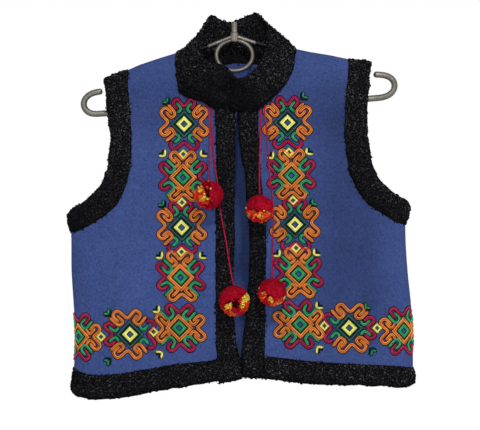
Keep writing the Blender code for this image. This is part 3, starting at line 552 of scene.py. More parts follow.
def size_setting(name, default, low, high, description):
    """A size in metres that the user can change."""
    return bpy.props.FloatProperty(
        name=name, description=description, default=default, min=low, max=high, unit="LENGTH")


def colour_setting(name, default, description):
    """A colour that the user can change."""
    return bpy.props.FloatVectorProperty(
        name=name, description=description, default=default, subtype="COLOR", size=3,
        min=0.0, max=1.0)


class FolkVestSizes(bpy.types.PropertyGroup):
    """Sizes of the cloth, stitches and yarn."""
    felt: size_setting("Felt thickness", 0.002, 0.0005, 0.006, "Thickness of the felt panels")
    trim: size_setting("Trim thickness", 0.0046, 0.002, 0.01,
                       "Thickness of the boucle trims without their curls")
    curl: size_setting("Curl radius", 0.0016, 0.0005, 0.004,
                       "Radius of one yarn curl of the boucle")
    curl_gap: size_setting("Curl spacing", 0.0025, 0.001, 0.01, "Least distance between two curls")
    stitch_gap: size_setting("Stitch spacing", 0.00112, 0.0004, 0.004,
                             "Distance from one satin stitch to the next")
    thread: size_setting("Thread radius", 0.00062, 0.0002, 0.002, "Radius of the embroidery thread")
    # Width of the painted shade edges beside each stroke
    painted_shade: size_setting("Pressed edge", 0.0017, 0.0, 0.003,
                          "How far the felt is pressed beside the stitches")
    tuft: size_setting("Tuft radius", 0.00115, 0.0005, 0.004, "Radius of one yarn end of a pompom")


class FolkVestColours(bpy.types.PropertyGroup):
    """Colours of the cloth, thread, yarn and metal."""
    felt: colour_setting("Felt", (0.031, 0.053, 0.161), "Colour of the felt")
    boucle: colour_setting("Boucle", (0.0020, 0.0020, 0.0027), "Colour of the boucle trims")
    orange: colour_setting("Orange thread", (0.58, 0.150, 0.018), "Colour of the orange thread")
    yellow: colour_setting("Yellow thread", (0.74, 0.76, 0.13), "Colour of the yellow thread")
    crimson: colour_setting("Crimson thread", (0.34, 0.004, 0.045), "Colour of the crimson thread")
    green: colour_setting("Green thread", (0.018, 0.30, 0.095), "Colour of the green thread")
    teal: colour_setting("Dark teal thread", (0.003, 0.022, 0.027),
                         "Colour of the dark teal thread")
    grey: colour_setting("Grey-green thread", (0.04, 0.15, 0.13),
                         "Colour of the thin outline thread")
    cord: colour_setting("Cord", (0.25, 0.0025, 0.026), "Colour of the twisted cords")
    wool: colour_setting("Pompom wool", (0.36, 0.0015, 0.017), "Colour of the pompoms' wool")
    steel: colour_setting("Steel", (0.17, 0.16, 0.14), "Colour of the hanger's metal")


# ---------------------------------------------------------------- curves and surfaces

def finer(rows, count, closed=False):
    """A smooth run of a table's rows, or of rows of points, with that many steps."""
    rows = np.asarray(rows, float)
    if closed:
        rows = np.concatenate((rows[-2:], rows, rows[:3]))
    slopes = np.gradient(rows, axis=0)
    first, last = (2, len(rows) - 3) if closed else (0, len(rows) - 1)
    at = np.linspace(first, last, count, endpoint=not closed)
    return between(rows, slopes, at)


def between(rows, slopes, at):
    """Cubic values of a table at places counted in rows."""
    low = np.clip(at.astype(int), 0, len(rows) - 2)
    t = (at - low).reshape((-1,) + (1,) * (rows.ndim - 1))
    rise = t * t * (3.0 - 2.0 * t)
    lean = slopes[low] * (t - 2 * t * t + t ** 3) + slopes[low + 1] * (t ** 3 - t * t)
    return rows[low] * (1.0 - rise) + rows[low + 1] * rise + lean


def four_times(rows):
    """A table's rows with three more between each two."""
    return finer(rows, len(rows) * 4 - 3)


def run_of(path):
    """Length along a path at each of its points."""
    return np.concatenate(([0.0], np.cumsum(np.linalg.norm(np.diff(path, axis=0), axis=1))))


def even(rows, spacing, closed=False):
    """The same run at an even spacing, measured along the middle of each row of points."""
    rows = np.asarray(rows, float)
    many = finer(rows, len(rows) * 12, closed)
    middle = many.reshape(len(many), -1, 3).mean(axis=1)
    if closed:
        many = np.concatenate((many, many[:1]))
        middle = np.concatenate((middle, middle[:1]))
    run = run_of(middle)
    count = max(int(round(run[-1] / spacing)), 4)
    at = np.linspace(0.0, run[-1], count + 1)
    if closed:
        at = at[:-1]
    flat = many.reshape(len(many), -1)
    made = np.stack([np.interp(at, run, column) for column in flat.T], axis=1)
    return made.reshape((len(at),) + rows.shape[1:])


def curve_at(rows, key, column):
    """Smooth value of one column of a table at a key of its first column."""
    rows = sorted(rows)
    keys = np.array([row[0] for row in rows])
    values = np.array([row[column] for row in rows])
    slopes = np.gradient(values, keys)
    at = min(max(int(np.searchsorted(keys, key)) - 1, 0), len(keys) - 2)
    span = keys[at + 1] - keys[at]
    t = min(max((key - keys[at]) / span, 0.0), 1.0)
    rise = t * t * (3.0 - 2.0 * t)
    lean = span * (slopes[at] * (t - 2 * t * t + t ** 3) + slopes[at + 1] * (t ** 3 - t * t))
    return values[at] * (1.0 - rise) + values[at + 1] * rise + lean


def line_at(rows, key, column=1):
    """Straight-line values of one column of a table."""
    table = np.array(sorted(rows))
    return np.interp(key, table[:, 0], table[:, column])


HEIGHTS = np.arange(-520.0, 1.0)
BODY_LEFT, BODY_RIGHT, BODY_DEPTH = (
    np.array([curve_at(BODY, z, column) for z in HEIGHTS]) for column in (1, 2, 3))


def sides(z):
    """Middle and half width of the body at a height."""
    left = np.interp(z, HEIGHTS, BODY_LEFT)
    right = np.interp(z, HEIGHTS, BODY_RIGHT)
    return (left + right) / 2.0, (right - left) / 2.0


def depth_squared(x, z, flare=0.0):
    """Square of the body's half depth, below nought outside the body."""
    middle, half = sides(z)
    across = (x - middle) / (half + flare)
    round_off = (1.0 - across * across) * (1.0 + 0.25 * across * across) ** 2
    drop = (line_at(RIDGE, x) - z) / SHOULDER_RISE
    narrow = np.sin(math.pi / 2.0 * np.minimum(drop, 1.0))
    return (np.interp(z, HEIGHTS, BODY_DEPTH) + flare) ** 2 * round_off * narrow


def ripple(x, z, face):
    """How far the cloth stands out: soft waves, the right front's folds and the back's fall."""
    low = np.clip((WAVE_TOP - z) / WAVE_RUN, 0.0, 1.0)
    waves = [high * np.sin(x / across + z / up + start + ahead * face)
             for high, across, up, start, ahead in WAVES]
    wave = waves[0] * (0.35 + 0.9 * low) + waves[1] + waves[2]
    upright = np.clip((FOLD_TOP - z) / FOLD_TOP_FADE, 0.0, 1.0)
    upright = upright * np.clip((z - FOLD_FOOT) / FOLD_FOOT_FADE, 0.0, 1.0)
    for middle, wide, high in FOLDS_RIGHT:
        fold = high * np.exp(-((x - middle) / wide) ** 2)
        wave += fold * upright ** 2 * (3.0 - 2.0 * upright) * (face < 0.0)
    fall = np.clip((HOLLOW_TOP - z) / HOLLOW_FADE, 0.0, 1.0)
    fall = fall * fall * (3.0 - 2.0 * fall) * np.exp(-((x - HOLLOW_X) / HOLLOW_WIDE) ** 2)
    return wave - HOLLOW_DEEP * fall * (face > 0.0)


def skin(x, z, face, flare=0.0):
    """Points on the cloth's outer face and the direction outwards; face is -1 front, 1 back."""
    x, z, face = np.broadcast_arrays(*(np.asarray(v, float) for v in (x, z, face)))
    deep = np.sqrt(np.maximum(depth_squared(x, z, flare), LEAST_DEPTH ** 2))
    step = 0.5
    gx = depth_squared(x + step, z, flare) - depth_squared(x - step, z, flare)
    gz = depth_squared(x, z + step, flare) - depth_squared(x, z - step, flare)
    keep = np.clip(deep / WAVE_DEPTH, 0.0, 1.0) ** 2
    wave = ripple(x, z, face) * keep
    wx = (ripple(x + step, z, face) - ripple(x - step, z, face)) * keep
    wz = (ripple(x, z + step, face) - ripple(x, z - step, face)) * keep
    out = np.stack((-gx - 2.0 * deep * wx, 2.0 * face * deep * 2 * step, -gz - 2.0 * deep * wz), -1)
    out[..., 1] = np.where(deep < FLAT_DEPTH, 0.0, out[..., 1])
    out /= np.linalg.norm(out, axis=-1, keepdims=True)
    return np.stack((x, face * (deep + wave), z), -1), out


def skin_round(angle, z, flare=0.0):
    """The same by the angle round the body, nought at the front and negative to the left."""
    angle, z = np.broadcast_arrays(np.asarray(angle, float), np.asarray(z, float))
    middle, half = sides(z)
    face = np.where(np.cos(angle) > 0.0, -1.0, 1.0)
    return skin(middle + (half + flare) * np.sin(angle), z, face, flare)


def angle_of(x, z, face=-1.0):
    """Angle round the body of a point across the front or the back."""
    middle, half = sides(z)
    turn = math.asin(min(max((x - middle) / half, -1.0), 1.0))
    return turn if face < 0.0 else math.copysign(math.pi, turn) - turn


def hem_at(angle):
    """Height of the hem band's top edge at an angle round the body."""
    degrees = np.degrees(angle)
    degrees = np.where(degrees > 0.0, degrees - 360.0, degrees)
    top = line_at(HEM, np.clip(degrees, HEM[-1][0], HEM[0][0]))
    return np.where(degrees > HEM[0][0], HEM[0][1], top) + HEM_LAP


# ---------------------------------------------------------------- meshes

def placed(name, mesh):
    """A mesh as an object of the scene."""
    made = bpy.data.objects.new(name, mesh)
    bpy.context.scene.collection.objects.link(made)
    return made


def store(mesh, name, values):
    """Keeps a number or a direction on each point of a mesh."""
    values = np.array(values, np.float32)
    kind, slot = ("FLOAT_VECTOR", "vector") if values.ndim == 2 else ("FLOAT", "value")
    mesh.attributes.new(name, kind, "POINT").data.foreach_set(slot, values.ravel())


def solid(name, points, faces, surface, smooth=True):
    """A piece of the vest from points in millimetres."""
    mesh = bpy.data.meshes.new(name)
    mesh.from_pydata((np.asarray(points, float) * MM).tolist(), [], faces)
    mesh.materials.append(surface)
    mesh.update()
    if smooth:
        mesh.shade_smooth()
    return placed(name, mesh)


def sheet_of(grid, outs, thick):
    """Points and faces of a slab of cloth under a grid of outer points."""
    rows, columns = grid.shape[:2]
    points = np.concatenate((grid.reshape(-1, 3), (grid - outs * thick).reshape(-1, 3)))
    under = rows * columns
    faces = []
    for r in range(rows - 1):
        for c in range(columns - 1):
            a = r * columns + c
            ring = (a, a + 1, a + columns + 1, a + columns)
            faces.append(ring)
            faces.append(tuple(under + i for i in reversed(ring)))
    border = list(range(columns))
    border += [r * columns + columns - 1 for r in range(1, rows)]
    border += [(rows - 1) * columns + c for c in range(columns - 2, -1, -1)]
    border += [r * columns for r in range(rows - 2, 0, -1)]
    for a, b in zip(border, border[1:] + border[:1]):
        faces.append((b, a, under + a, under + b))
    return points, faces


def face_out(made):
    """Turns a closed mesh inside out where its faces look inwards."""
    total = 0.0
    for polygon in made.data.polygons:
        corners = [made.data.vertices[i].co for i in polygon.vertices]
        for b, c in zip(corners[1:], corners[2:]):
            total += corners[0].dot(b.cross(c))
    if total < 0.0:
        made.data.flip_normals()
    return made


def ring_faces(count, ring, closed):
    """Faces of rings of points joined one to the next."""
    faces = []
    for s in range(count if closed else count - 1):
        a, b = s * ring, (s + 1) % count * ring
        for i in range(ring):
            j = (i + 1) % ring
            faces.append((a + i, a + j, b + j, b + i))
    if not closed:
        faces.append(tuple(reversed(range(ring))))
        faces.append(tuple((count - 1) * ring + i for i in range(ring)))
    return faces


def tube(path, radii, sides_round, lobes=0.0, pitch=1.0):
    """Points and faces of a round rod or a twisted cord along a path, in millimetres."""
    path = np.asarray(path, float)
    count = len(path)
    along = np.roll(path, -1, 0) - np.roll(path, 1, 0)
    along[0], along[-1] = path[1] - path[0], path[-1] - path[-2]
    along /= np.linalg.norm(along, axis=1, keepdims=True)
    side = np.cross(along[0], (0.0, 0.0, 1.0) if abs(along[0][2]) < 0.9 else (0.0, 1.0, 0.0))
    run = run_of(path)
    radii = np.broadcast_to(radii, (count,))
    points = []
    for i, t in enumerate(along):
        side = side - t * side.dot(t)
        side /= np.linalg.norm(side)
        other = np.cross(t, side)
        for k in range(sides_round):
            angle = 2.0 * math.pi * k / sides_round
            r = radii[i] * (1.0 - lobes + lobes * math.cos(2.0 * (angle - run[i] * pitch)))
            points.append(path[i] + (side * math.cos(angle) + other * math.sin(angle)) * r)
    return points, ring_faces(count, sides_round, False)


def padded_band(lines, thick, across, closed):
    """Points and faces of a padded band; each line holds centres and directions outwards."""
    u = np.linspace(-1.0, 1.0, across)
    square = np.where(u < 0.0, SEAM_EDGE, FREE_EDGE)
    swell = (1.0 - np.abs(u) ** square) ** 0.5 * thick / 2.0
    points = []
    for centres, outs in lines:
        at = (u + 1.0) / 2.0 * (len(centres) - 1)
        middle = between(centres, np.gradient(centres, axis=0), at)
        out = between(outs, np.gradient(outs, axis=0), at)
        out /= np.linalg.norm(out, axis=1, keepdims=True)
        front = middle + out * swell[:, None]
        rear = (middle - out * swell[:, None])[::-1]
        points += list(front) + list(rear[1:-1])
    return points, ring_faces(len(lines), 2 * across - 2, closed)


# ---------------------------------------------------------------- node trees

class Bench:
    """A node tree being built; one method places any node."""

    def __init__(self, tree):
        self.tree = tree

    def node(self, kind, settings=None, inputs=None, output=0):
        """Places a node: first its settings, then the values or links of its sockets."""
        made = self.tree.nodes.new(kind)
        for name, value in (settings or {}).items():
            if name == "stops":
                ramp = made.color_ramp
                for _ in range(len(value) - 2):
                    ramp.elements.new(0.5)
                for element, (place, colour) in zip(ramp.elements, value):
                    element.position = place
                    element.color = (*colour, 1.0)
            else:
                setattr(made, name, value)
        for name, value in (inputs or {}).items():
            socket = made.inputs[name]
            if isinstance(value, Wire):
                self.tree.links.new(value.socket, socket)
            else:
                socket.default_value = value
        return Wire(self, made.outputs[output]) if len(made.outputs) else made

    def maths(self, operation, *values):
        """A Math node on numbers."""
        return self.node("ShaderNodeMath", {"operation": operation}, dict(enumerate(values)))


class Wire:
    """The output of a node, which can be used in plain arithmetic."""

    def __init__(self, bench, socket):
        self.bench = bench
        self.socket = socket

    def other(self, name):
        """Another output of the same node."""
        return Wire(self.bench, self.socket.node.outputs[name])

    def __add__(self, value):
        return self.bench.maths("ADD", self, value)

    def __sub__(self, value):
        return self.bench.maths("SUBTRACT", self, value)

    def __rsub__(self, value):
        return self.bench.maths("SUBTRACT", value, self)

    def __mul__(self, value):
        return self.bench.maths("MULTIPLY", self, value)

    __radd__ = __add__
    __rmul__ = __mul__


class Paint(Bench):
    """A procedural material."""

    def __init__(self, name, colour, roughness, **constants):
        self.material = bpy.data.materials.new(name)
        self.material.use_nodes = True
        self.material.diffuse_color = (*colour, 1.0)
        super().__init__(self.material.node_tree)
        self.shader = self.tree.nodes["Principled BSDF"]
        self.shader.inputs["Base Color"].default_value = (*colour, 1.0)
        self.shader.inputs["Roughness"].default_value = roughness
        for name, value in constants.items():
            self.shader.inputs[name.replace("_", " ")].default_value = value

    def place(self):
        """Object coordinates, in metres."""
        return self.node("ShaderNodeTexCoord").other("Object")

    def attribute(self, name):
        """A number stored on the piece."""
        return self.node("ShaderNodeAttribute", {"attribute_name": name}).other("Fac")

    def noise(self, place, scale, detail=2.0, roughness=0.5):
        """Soft noise from 0 to 1 at a scale given in lumps to the metre."""
        return self.node("ShaderNodeTexNoise", None, {
            "Vector": place, "Scale": scale, "Detail": detail, "Roughness": roughness})

    def between(self, value, low, high, to_low=0.0, to_high=1.0):
        """A value's range moved to another range, without going beyond it."""
        return self.node("ShaderNodeMapRange", {"clamp": True}, {
            "Value": value, "From Min": low, "From Max": high, "To Min": to_low, "To Max": to_high})

    def within(self, place, edge):
        """A share that goes from 0 to 1 between two places given in millimetres."""
        return self.between(place, edge[0] * MM, edge[1] * MM)

    def blend(self, share, one, other, how="MIX"):
        """Two colours mixed."""
        return self.node("ShaderNodeMix", {"data_type": "RGBA", "blend_type": how}, {
            "Factor": share, 6: colour_of(one), 7: colour_of(other)}, 2)

    def bump(self, height, distance, strength=1.0):
        """Raises the surface by a height from 0 to 1."""
        self.set("Normal", self.node("ShaderNodeBump", None, {
            "Height": height, "Distance": distance, "Strength": strength}))

    def set(self, name, value):
        """Links a value to a socket of the shader."""
        self.tree.links.new(value.socket, self.shader.inputs[name])


def colour_of(value):
    """A link as it is, or three numbers as a colour."""
    return value if isinstance(value, Wire) else (*value, 1.0)


def shade(colour, factor):
    """A colour made darker or lighter."""
    return tuple(min(c * factor, 1.0) for c in colour)


def nodes_on(made, name, build, values):
    """Puts a Geometry Nodes tree on a piece and turns the result into its plain mesh."""
    tree = bpy.data.node_groups.new(name, "GeometryNodeTree")
    tree.interface.new_socket("Geometry", in_out="INPUT", socket_type="NodeSocketGeometry")
    kinds = {float: "NodeSocketFloat", int: "NodeSocketInt",
             bpy.types.Material: "NodeSocketMaterial"}
    for label, value in values.items():
        tree.interface.new_socket(label, in_out="INPUT", socket_type=kinds[type(value)])
    tree.interface.new_socket("Geometry", in_out="OUTPUT", socket_type="NodeSocketGeometry")
    bench = Bench(tree)
    entry = bench.node("NodeGroupInput")
    result = build(bench, entry)
    result = bench.node("GeometryNodeRealizeInstances", None, {"Geometry": result})
    result = bench.node("GeometryNodeSetMaterial", None, {
        "Geometry": result, "Material": entry.other("Material")})
    leave = bench.tree.nodes.new("NodeGroupOutput")
    tree.links.new(result.socket, leave.inputs[0])
    modifier = made.modifiers.new(name, "NODES")
    modifier.node_group = tree
    for item in tree.interface.items_tree:
        if item.in_out == "INPUT" and item.name in values:
            modifier[item.identifier] = values[item.name]
    bpy.context.view_layer.update()
    graph = bpy.context.evaluated_depsgraph_get()
    mesh = bpy.data.meshes.new_from_object(made.evaluated_get(graph))
    made.modifiers.remove(modifier)
    before = made.data
    made.data = mesh
    mesh.name = made.name
    bpy.data.meshes.remove(before)
    return made


def random_between(bench, low, high, seed):
    """A random number, or a random vector where the ends are vectors."""
    if isinstance(low, tuple):
        return bench.node("FunctionNodeRandomValue", {"data_type": "FLOAT_VECTOR"},
                          {0: low, 1: high, 8: seed}, 0)
    return bench.node("FunctionNodeRandomValue", {"data_type": "FLOAT"},
                      {2: low, 3: high, 8: seed}, 1)


def stored(bench, name, kind="FLOAT"):
    """A number or a direction kept on the points."""
    return bench.node("GeometryNodeInputNamedAttribute", {"data_type": kind}, {"Name": name})


def boucle_tree(bench, entry):
    """Yarn curls of random turn and size over a trim, with painted shade making them blacker where
    the trim faces down.
    """
    points = bench.node("GeometryNodeDistributePointsOnFaces", {"distribute_method": "POISSON"}, {
        "Mesh": entry.other("Geometry"), "Distance Min": entry.other("Spacing"),
        "Density Max": CURLS_MOST, "Seed": entry.other("Seed"),
        "Density Factor": stored(bench, "cover")})
    ring = bench.node("GeometryNodeCurveArc", {"mode": "RADIUS"}, {
        "Resolution": 6, "Radius": entry.other("Radius"), "Start Angle": math.radians(CURL_START),
        "Sweep Angle": math.radians(CURL_SWEEP)})
    wire = bench.node("GeometryNodeCurvePrimitiveCircle", {"mode": "RADIUS"}, {
        "Resolution": 3, "Radius": entry.other("Radius") * CURL_YARN})
    curl = bench.node("GeometryNodeCurveToMesh", None, {
        "Curve": ring, "Profile Curve": wire, "Fill Caps": True})
    turn = bench.node("FunctionNodeRotateRotation", {"rotation_space": "LOCAL"}, {
        "Rotation": points.other("Rotation"),
        "Rotate By": random_between(bench, (-CURL_LEAN, -CURL_LEAN, 0.0),
                                    (CURL_LEAN, CURL_LEAN, FULL_TURN), entry.other("Seed"))})
    placed_curls = bench.node("GeometryNodeInstanceOnPoints", None, {
        "Points": points, "Instance": curl, "Rotation": turn,
        "Scale": random_between(bench, *CURL_SIZES, entry.other("Seed") + 3.0)})
    # Painted shade: each curl's grey is cut by how far its trim faces down and to the left
    facing = bench.node("ShaderNodeSeparateXYZ", None, {"Vector": points.other("Normal")})
    facing_shade = bench.node("ShaderNodeMapRange", {"clamp": True}, {
        "Value": facing.other("Z") + facing.other("X") * 0.3,
        "From Min": CURL_FACING[0], "From Max": CURL_FACING[1], "To Min": 0.0, "To Max": 1.0})
    placed_curls = bench.node(
        "GeometryNodeStoreNamedAttribute", {"data_type": "FLOAT", "domain": "INSTANCE"}, {
            "Geometry": placed_curls, "Name": "tone",
            "Value": facing_shade * random_between(bench, *CURL_TONES, entry.other("Seed") + 7.0)})
    join = bench.tree.nodes.new("GeometryNodeJoinGeometry")
    for part in (entry.other("Geometry"), placed_curls):
        bench.tree.links.new(part.socket, join.inputs[0])
    return Wire(bench, join.outputs[0])


def stitch_tree(bench, entry):
    """Threads laid side by side across a line of satin stitch."""
    line = bench.node("GeometryNodeMeshToCurve", None, {"Mesh": entry.other("Geometry")})
    line = bench.node("GeometryNodeResampleCurve", {"mode": "LENGTH"}, {
        "Curve": line, "Length": entry.other("Spacing")})
    arch = bench.node("GeometryNodeCurveQuadraticBezier", None, {
        "Resolution": 4, "Start": (0.0, -1.0, 0.0), "Middle": (0.0, 0.0, STITCH_ARCH),
        "End": (0.0, 1.0, 0.0)})
    reach = bench.node("GeometryNodeSplineParameter") * 2.0 - 1.0
    arch = bench.node(
        "GeometryNodeStoreNamedAttribute", {"data_type": "FLOAT", "domain": "POINT"}, {
            "Geometry": arch, "Name": "reach", "Value": bench.maths("ABSOLUTE", reach)})
    ply = bench.node("GeometryNodeCurvePrimitiveCircle", {"mode": "RADIUS"}, {
        "Resolution": 4, "Radius": STITCH_PLY})
    thread = bench.node("GeometryNodeCurveToMesh", None, {
        "Curve": arch, "Profile Curve": ply, "Fill Caps": True})
    turn = bench.node("FunctionNodeAxesToRotation", {"primary_axis": "Z", "secondary_axis": "X"}, {
        0: stored(bench, "out", "FLOAT_VECTOR"), 1: bench.node("GeometryNodeInputTangent")})
    turn = bench.node("FunctionNodeRotateRotation", {"rotation_space": "LOCAL"}, {
        "Rotation": turn, "Rotate By": (0.0, 0.0, STITCH_LEAN)})
    half = stored(bench, "half")
    size = bench.node("ShaderNodeCombineXYZ", None, {
        "X": entry.other("Thread") * STITCH_WIDE, "Y": half,
        "Z": entry.other("Thread") * STITCH_HIGH})
    threads = bench.node("GeometryNodeInstanceOnPoints", None, {
        "Points": line, "Instance": thread, "Rotation": turn, "Scale": size})
    return bench.node(
        "GeometryNodeStoreNamedAttribute", {"data_type": "FLOAT", "domain": "INSTANCE"}, {
            "Geometry": threads, "Name": "tone",
            "Value": random_between(bench, 0.0, 1.0, entry.other("Seed"))})


def tuft_tree(bench, entry):
    """Cut yarn ends standing out of a pompom."""
    end = bench.node("GeometryNodeMeshCone", {"fill_type": "NGON"}, {
        "Vertices": 6, "Side Segments": 2, "Radius Top": 1.0, "Radius Bottom": 0.35, "Depth": 1.0})
    turn = bench.node("FunctionNodeAlignRotationToVector", {"axis": "Z"}, {
        "Vector": stored(bench, "aim", "FLOAT_VECTOR")})
    long = stored(bench, "long")
    thick = stored(bench, "thick") * entry.other("Radius")
    size = bench.node("ShaderNodeCombineXYZ", None, {"X": thick, "Y": thick, "Z": long})
    return bench.node("GeometryNodeInstanceOnPoints", None, {
        "Points": entry.other("Geometry"), "Instance": end, "Rotation": turn, "Scale": size})


# ---------------------------------------------------------------- materials

def felt_surface(colour):
    """Fulled wool felt with a soft nap, and painted shade on the right front and on the yoke."""
    paint = Paint("blue_felt_cloth", colour, 0.95, Specular_IOR_Level=0.04, Sheen_Weight=0.02)
    place = paint.place()
    cloudy = paint.noise(place, 22.0, 3.0)
    mottled = paint.noise(place, 340.0, 3.0, 0.65)
    fibres = paint.noise(place, 900.0, 2.0, 0.7)
    tone = paint.between(cloudy, 0.3, 0.7, -0.10, 0.10)
    tone = tone + paint.between(mottled, 0.3, 0.7, 0.1, 0.9)
    cloth = paint.blend(tone, shade(colour, 0.64), shade(colour, 1.38))
    violet = paint.between(paint.noise(place, 120.0, 2.0), 0.45, 0.75, 0.0, 0.35)
    cloth = paint.blend(violet, cloth, (colour[0] * 1.25, colour[1] * 0.92, colour[2] * 1.15))
    axes = paint.node("ShaderNodeSeparateXYZ", None, {"Vector": place})
    across, deep, high = (axes.other(axis) for axis in "XYZ")
    # Painted shade: the right front and the yoke are darkened, on the front of the body only
    from_left, from_right, from_below, from_above = SHADE_RIGHT
    right = (paint.within(across, from_left) * paint.within(across, from_right)
             * paint.within(high, from_below) * paint.within(high, from_above))
    yoke = paint.within(high, SHADE_YOKE[0]) * paint.within(high, SHADE_YOKE[1])
    dark = right * SHADE_RIGHT_DARK + yoke * SHADE_YOKE_DARK
    cloth = paint.blend(dark * paint.within(deep, SHADE_FRONT), cloth, BLACK)
    paint.set("Base Color", cloth)
    paint.set("Roughness", paint.between(fibres, 0.2, 0.8, 0.86, 1.0))
    paint.bump(fibres * 0.6 + mottled * 0.8, 0.0006, 0.7)
    return paint.material


def boucle_surface(colour):
    """Black curled yarn: dark between the curls, with painted grey highlight specks where the light
    would catch them, and painted shade on the collar's front.
    """
    paint = Paint("black_boucle_yarn", colour, 0.7, Specular_IOR_Level=0.03)
    place = paint.place()
    worm = paint.noise(place, 420.0, 2.0, 0.6)
    # Painted highlight: grey specks laid into the yarn's colour where curls would catch the light
    speck = paint.between(worm, 0.47, 0.67)
    patch = paint.between(paint.noise(place, 70.0, 2.0), 0.3, 0.7, 0.55, 1.0)
    # Painted shade: the highlight specks fade where the collar stands furthest forward
    deep = paint.node("ShaderNodeSeparateXYZ", None, {"Vector": place}).other("Y")
    wear_and_shade = paint.between(deep, SHADE_DEPTHS[0] * MM, SHADE_DEPTHS[1] * MM, *SHADE_SHARES)
    light = speck * patch * wear_and_shade * (paint.attribute("tone") + 0.1)
    yarn = paint.blend(paint.between(light, 0.0, 1.0), colour, SPECK_HIGHLIGHT)
    paint.set("Base Color", yarn)
    paint.set("Roughness", paint.between(worm, 0.2, 0.8, 0.62, 0.92))
    paint.bump(worm, 0.0014, 0.9)
    return paint.material


def thread_surface(name, colour):
    """Embroidery thread: palest on the stitch's shoulders as a painted highlight, darker in its
    middle and at its edges as painted shade.
    """
    paint = Paint(name + "_thread", colour, 0.5, Specular_IOR_Level=0.1)
    place = paint.place()
    tone, reach = paint.attribute("tone"), paint.attribute("reach")
    drift = paint.noise(place, 95.0, 2.0)
    # Painted shade: the dark copy taken at the stitch's edges and on the shade edges beside it
    deep = (colour[0] * 0.12, colour[1] * 0.12, colour[2] * 0.3)
    # A darker copy for the stitch's middle and a paler one for its shoulders: painted shade and
    # painted highlight
    dull = shade(colour, 0.46 + 0.35 * colour[1])
    most = max(colour)
    light = tuple(min(c * 1.55 + most * 0.10 + min(c * 0.55, most * 0.16), 1.0) for c in colour)
    shoulder = paint.between(reach, 0.3, 0.65) * paint.between(reach, 0.9, 1.08, 1.0, 0.2)
    share = shoulder * 0.85 + tone * 0.15 + paint.between(drift, 0.3, 0.7, -0.2, 0.15)
    cloth = paint.blend(paint.between(share, 0.0, 1.0), dull, light)
    cloth = paint.blend(paint.between(reach, 0.92, 1.4), cloth, deep)
    paint.set("Base Color", cloth)
    paint.set("Roughness", paint.between(drift, 0.2, 0.8, 0.42, 0.62))
    paint.bump(paint.noise(place, 1400.0, 2.0), 0.0002, 0.5)
    return paint.material


def cord_surface(colour):
    """Twisted two-ply cord."""
    paint = Paint("crimson_twisted_cord", colour, 0.7, Specular_IOR_Level=0.05)
    place = paint.place()
    ply = paint.noise(place, 420.0, 2.0)
    wear_and_shade = paint.noise(place, 38.0, 2.0)
    cloth = paint.blend(paint.between(ply, 0.3, 0.7), shade(colour, 0.55), shade(colour, 1.35))
    cloth = paint.blend(paint.between(wear_and_shade, 0.45, 0.7, 0.0, 0.45), cloth,
                        (colour[0] * 0.8 + 0.05, colour[1] + 0.03, colour[2] + 0.04))
    paint.set("Base Color", cloth)
    paint.set("Roughness", paint.between(ply, 0.2, 0.8, 0.6, 0.85))
    paint.bump(paint.noise(place, 1500.0, 2.0), 0.0002, 0.5)
    return paint.material


def wool_surface(colour):
    """Pompom wool; the tone runs from painted shade near black, for the hollow and under the cut
    ends, over crimson and orange to yellow.
    """
    paint = Paint("pompom_wool", colour, 0.85, Specular_IOR_Level=0.05)
    place = paint.place()
    # The ramp's lowest stops are painted shade, drawn near black
    dye = paint.node("ShaderNodeValToRGB", {"stops": (
        (0.0, (0.006, 0.001, 0.002)), (0.12, shade(colour, 0.25)), (0.25, colour),
        (0.40, (0.75, 0.010, 0.030)), (0.55, (0.90, 0.075, 0.012)), (0.70, (0.95, 0.24, 0.050)),
        (0.84, (0.95, 0.45, 0.04)), (1.0, (0.95, 0.85, 0.10)))}, {"Fac": paint.attribute("tone")})
    strand = paint.noise(place, 700.0, 2.0, 0.6)
    soft = paint.noise(place, 70.0, 2.0)
    wool = paint.blend(paint.between(strand, 0.3, 0.7, 0.0, 0.68), dye, BLACK, "MULTIPLY")
    wool = paint.blend(paint.between(soft, 0.35, 0.7, 0.0, 0.25), wool, (0.02, 0.0, 0.004),
                       "MULTIPLY")
    paint.set("Base Color", wool)
    paint.set("Roughness", paint.between(strand, 0.2, 0.8, 0.78, 0.95))
    paint.bump(strand, 0.0005, 0.8)
    return paint.material


def steel_surface(colour, name="worn_plated_steel", dark_beyond=None):
    """Old plated steel wire with small spots of rust; black beyond two places across where they are
    given.
    """
    paint = Paint(name, colour, 0.5, Metallic=1.0)
    place = paint.place()
    dull = paint.noise(place, 55.0, 4.0, 0.6)
    metal = paint.blend(paint.between(dull, 0.4, 0.75), colour, shade(colour, 0.62))
    spots = paint.between(paint.noise(place, 260.0, 3.0, 0.7), 0.62, 0.72, 0.0, 0.8)
    metal = paint.blend(spots, metal, RUST)
    if dark_beyond:
        left, right = dark_beyond
        across = paint.node("ShaderNodeSeparateXYZ", None, {"Vector": place})
        past = (paint.within(across, (left, left - ARM_BLACK_FADE))
                + paint.within(across, (right, right + ARM_BLACK_FADE)))
        metal = paint.blend(past, metal, ARM_BLACK)
    paint.set("Base Color", metal)
    paint.set("Roughness", paint.between(dull, 0.3, 0.75, 0.42, 0.6) + spots * 0.2)
    paint.set("Metallic", 0.72 - spots * 0.4)
    paint.bump(paint.noise(place, 900.0, 2.0) * 0.5 + dull * 0.5, 0.00015, 0.5)
    return paint.material


def floor_surface():
    """Pale matt studio floor."""
    paint = Paint("pale_studio_floor", (0.86, 0.86, 0.85), 0.9)
    grain = paint.noise(paint.place(), 6.0, 3.0)
    paint.set("Base Color", paint.blend(grain, (0.85, 0.85, 0.84), (0.89, 0.89, 0.885)))
    return paint.material


# ---------------------------------------------------------------- shapes of the pieces

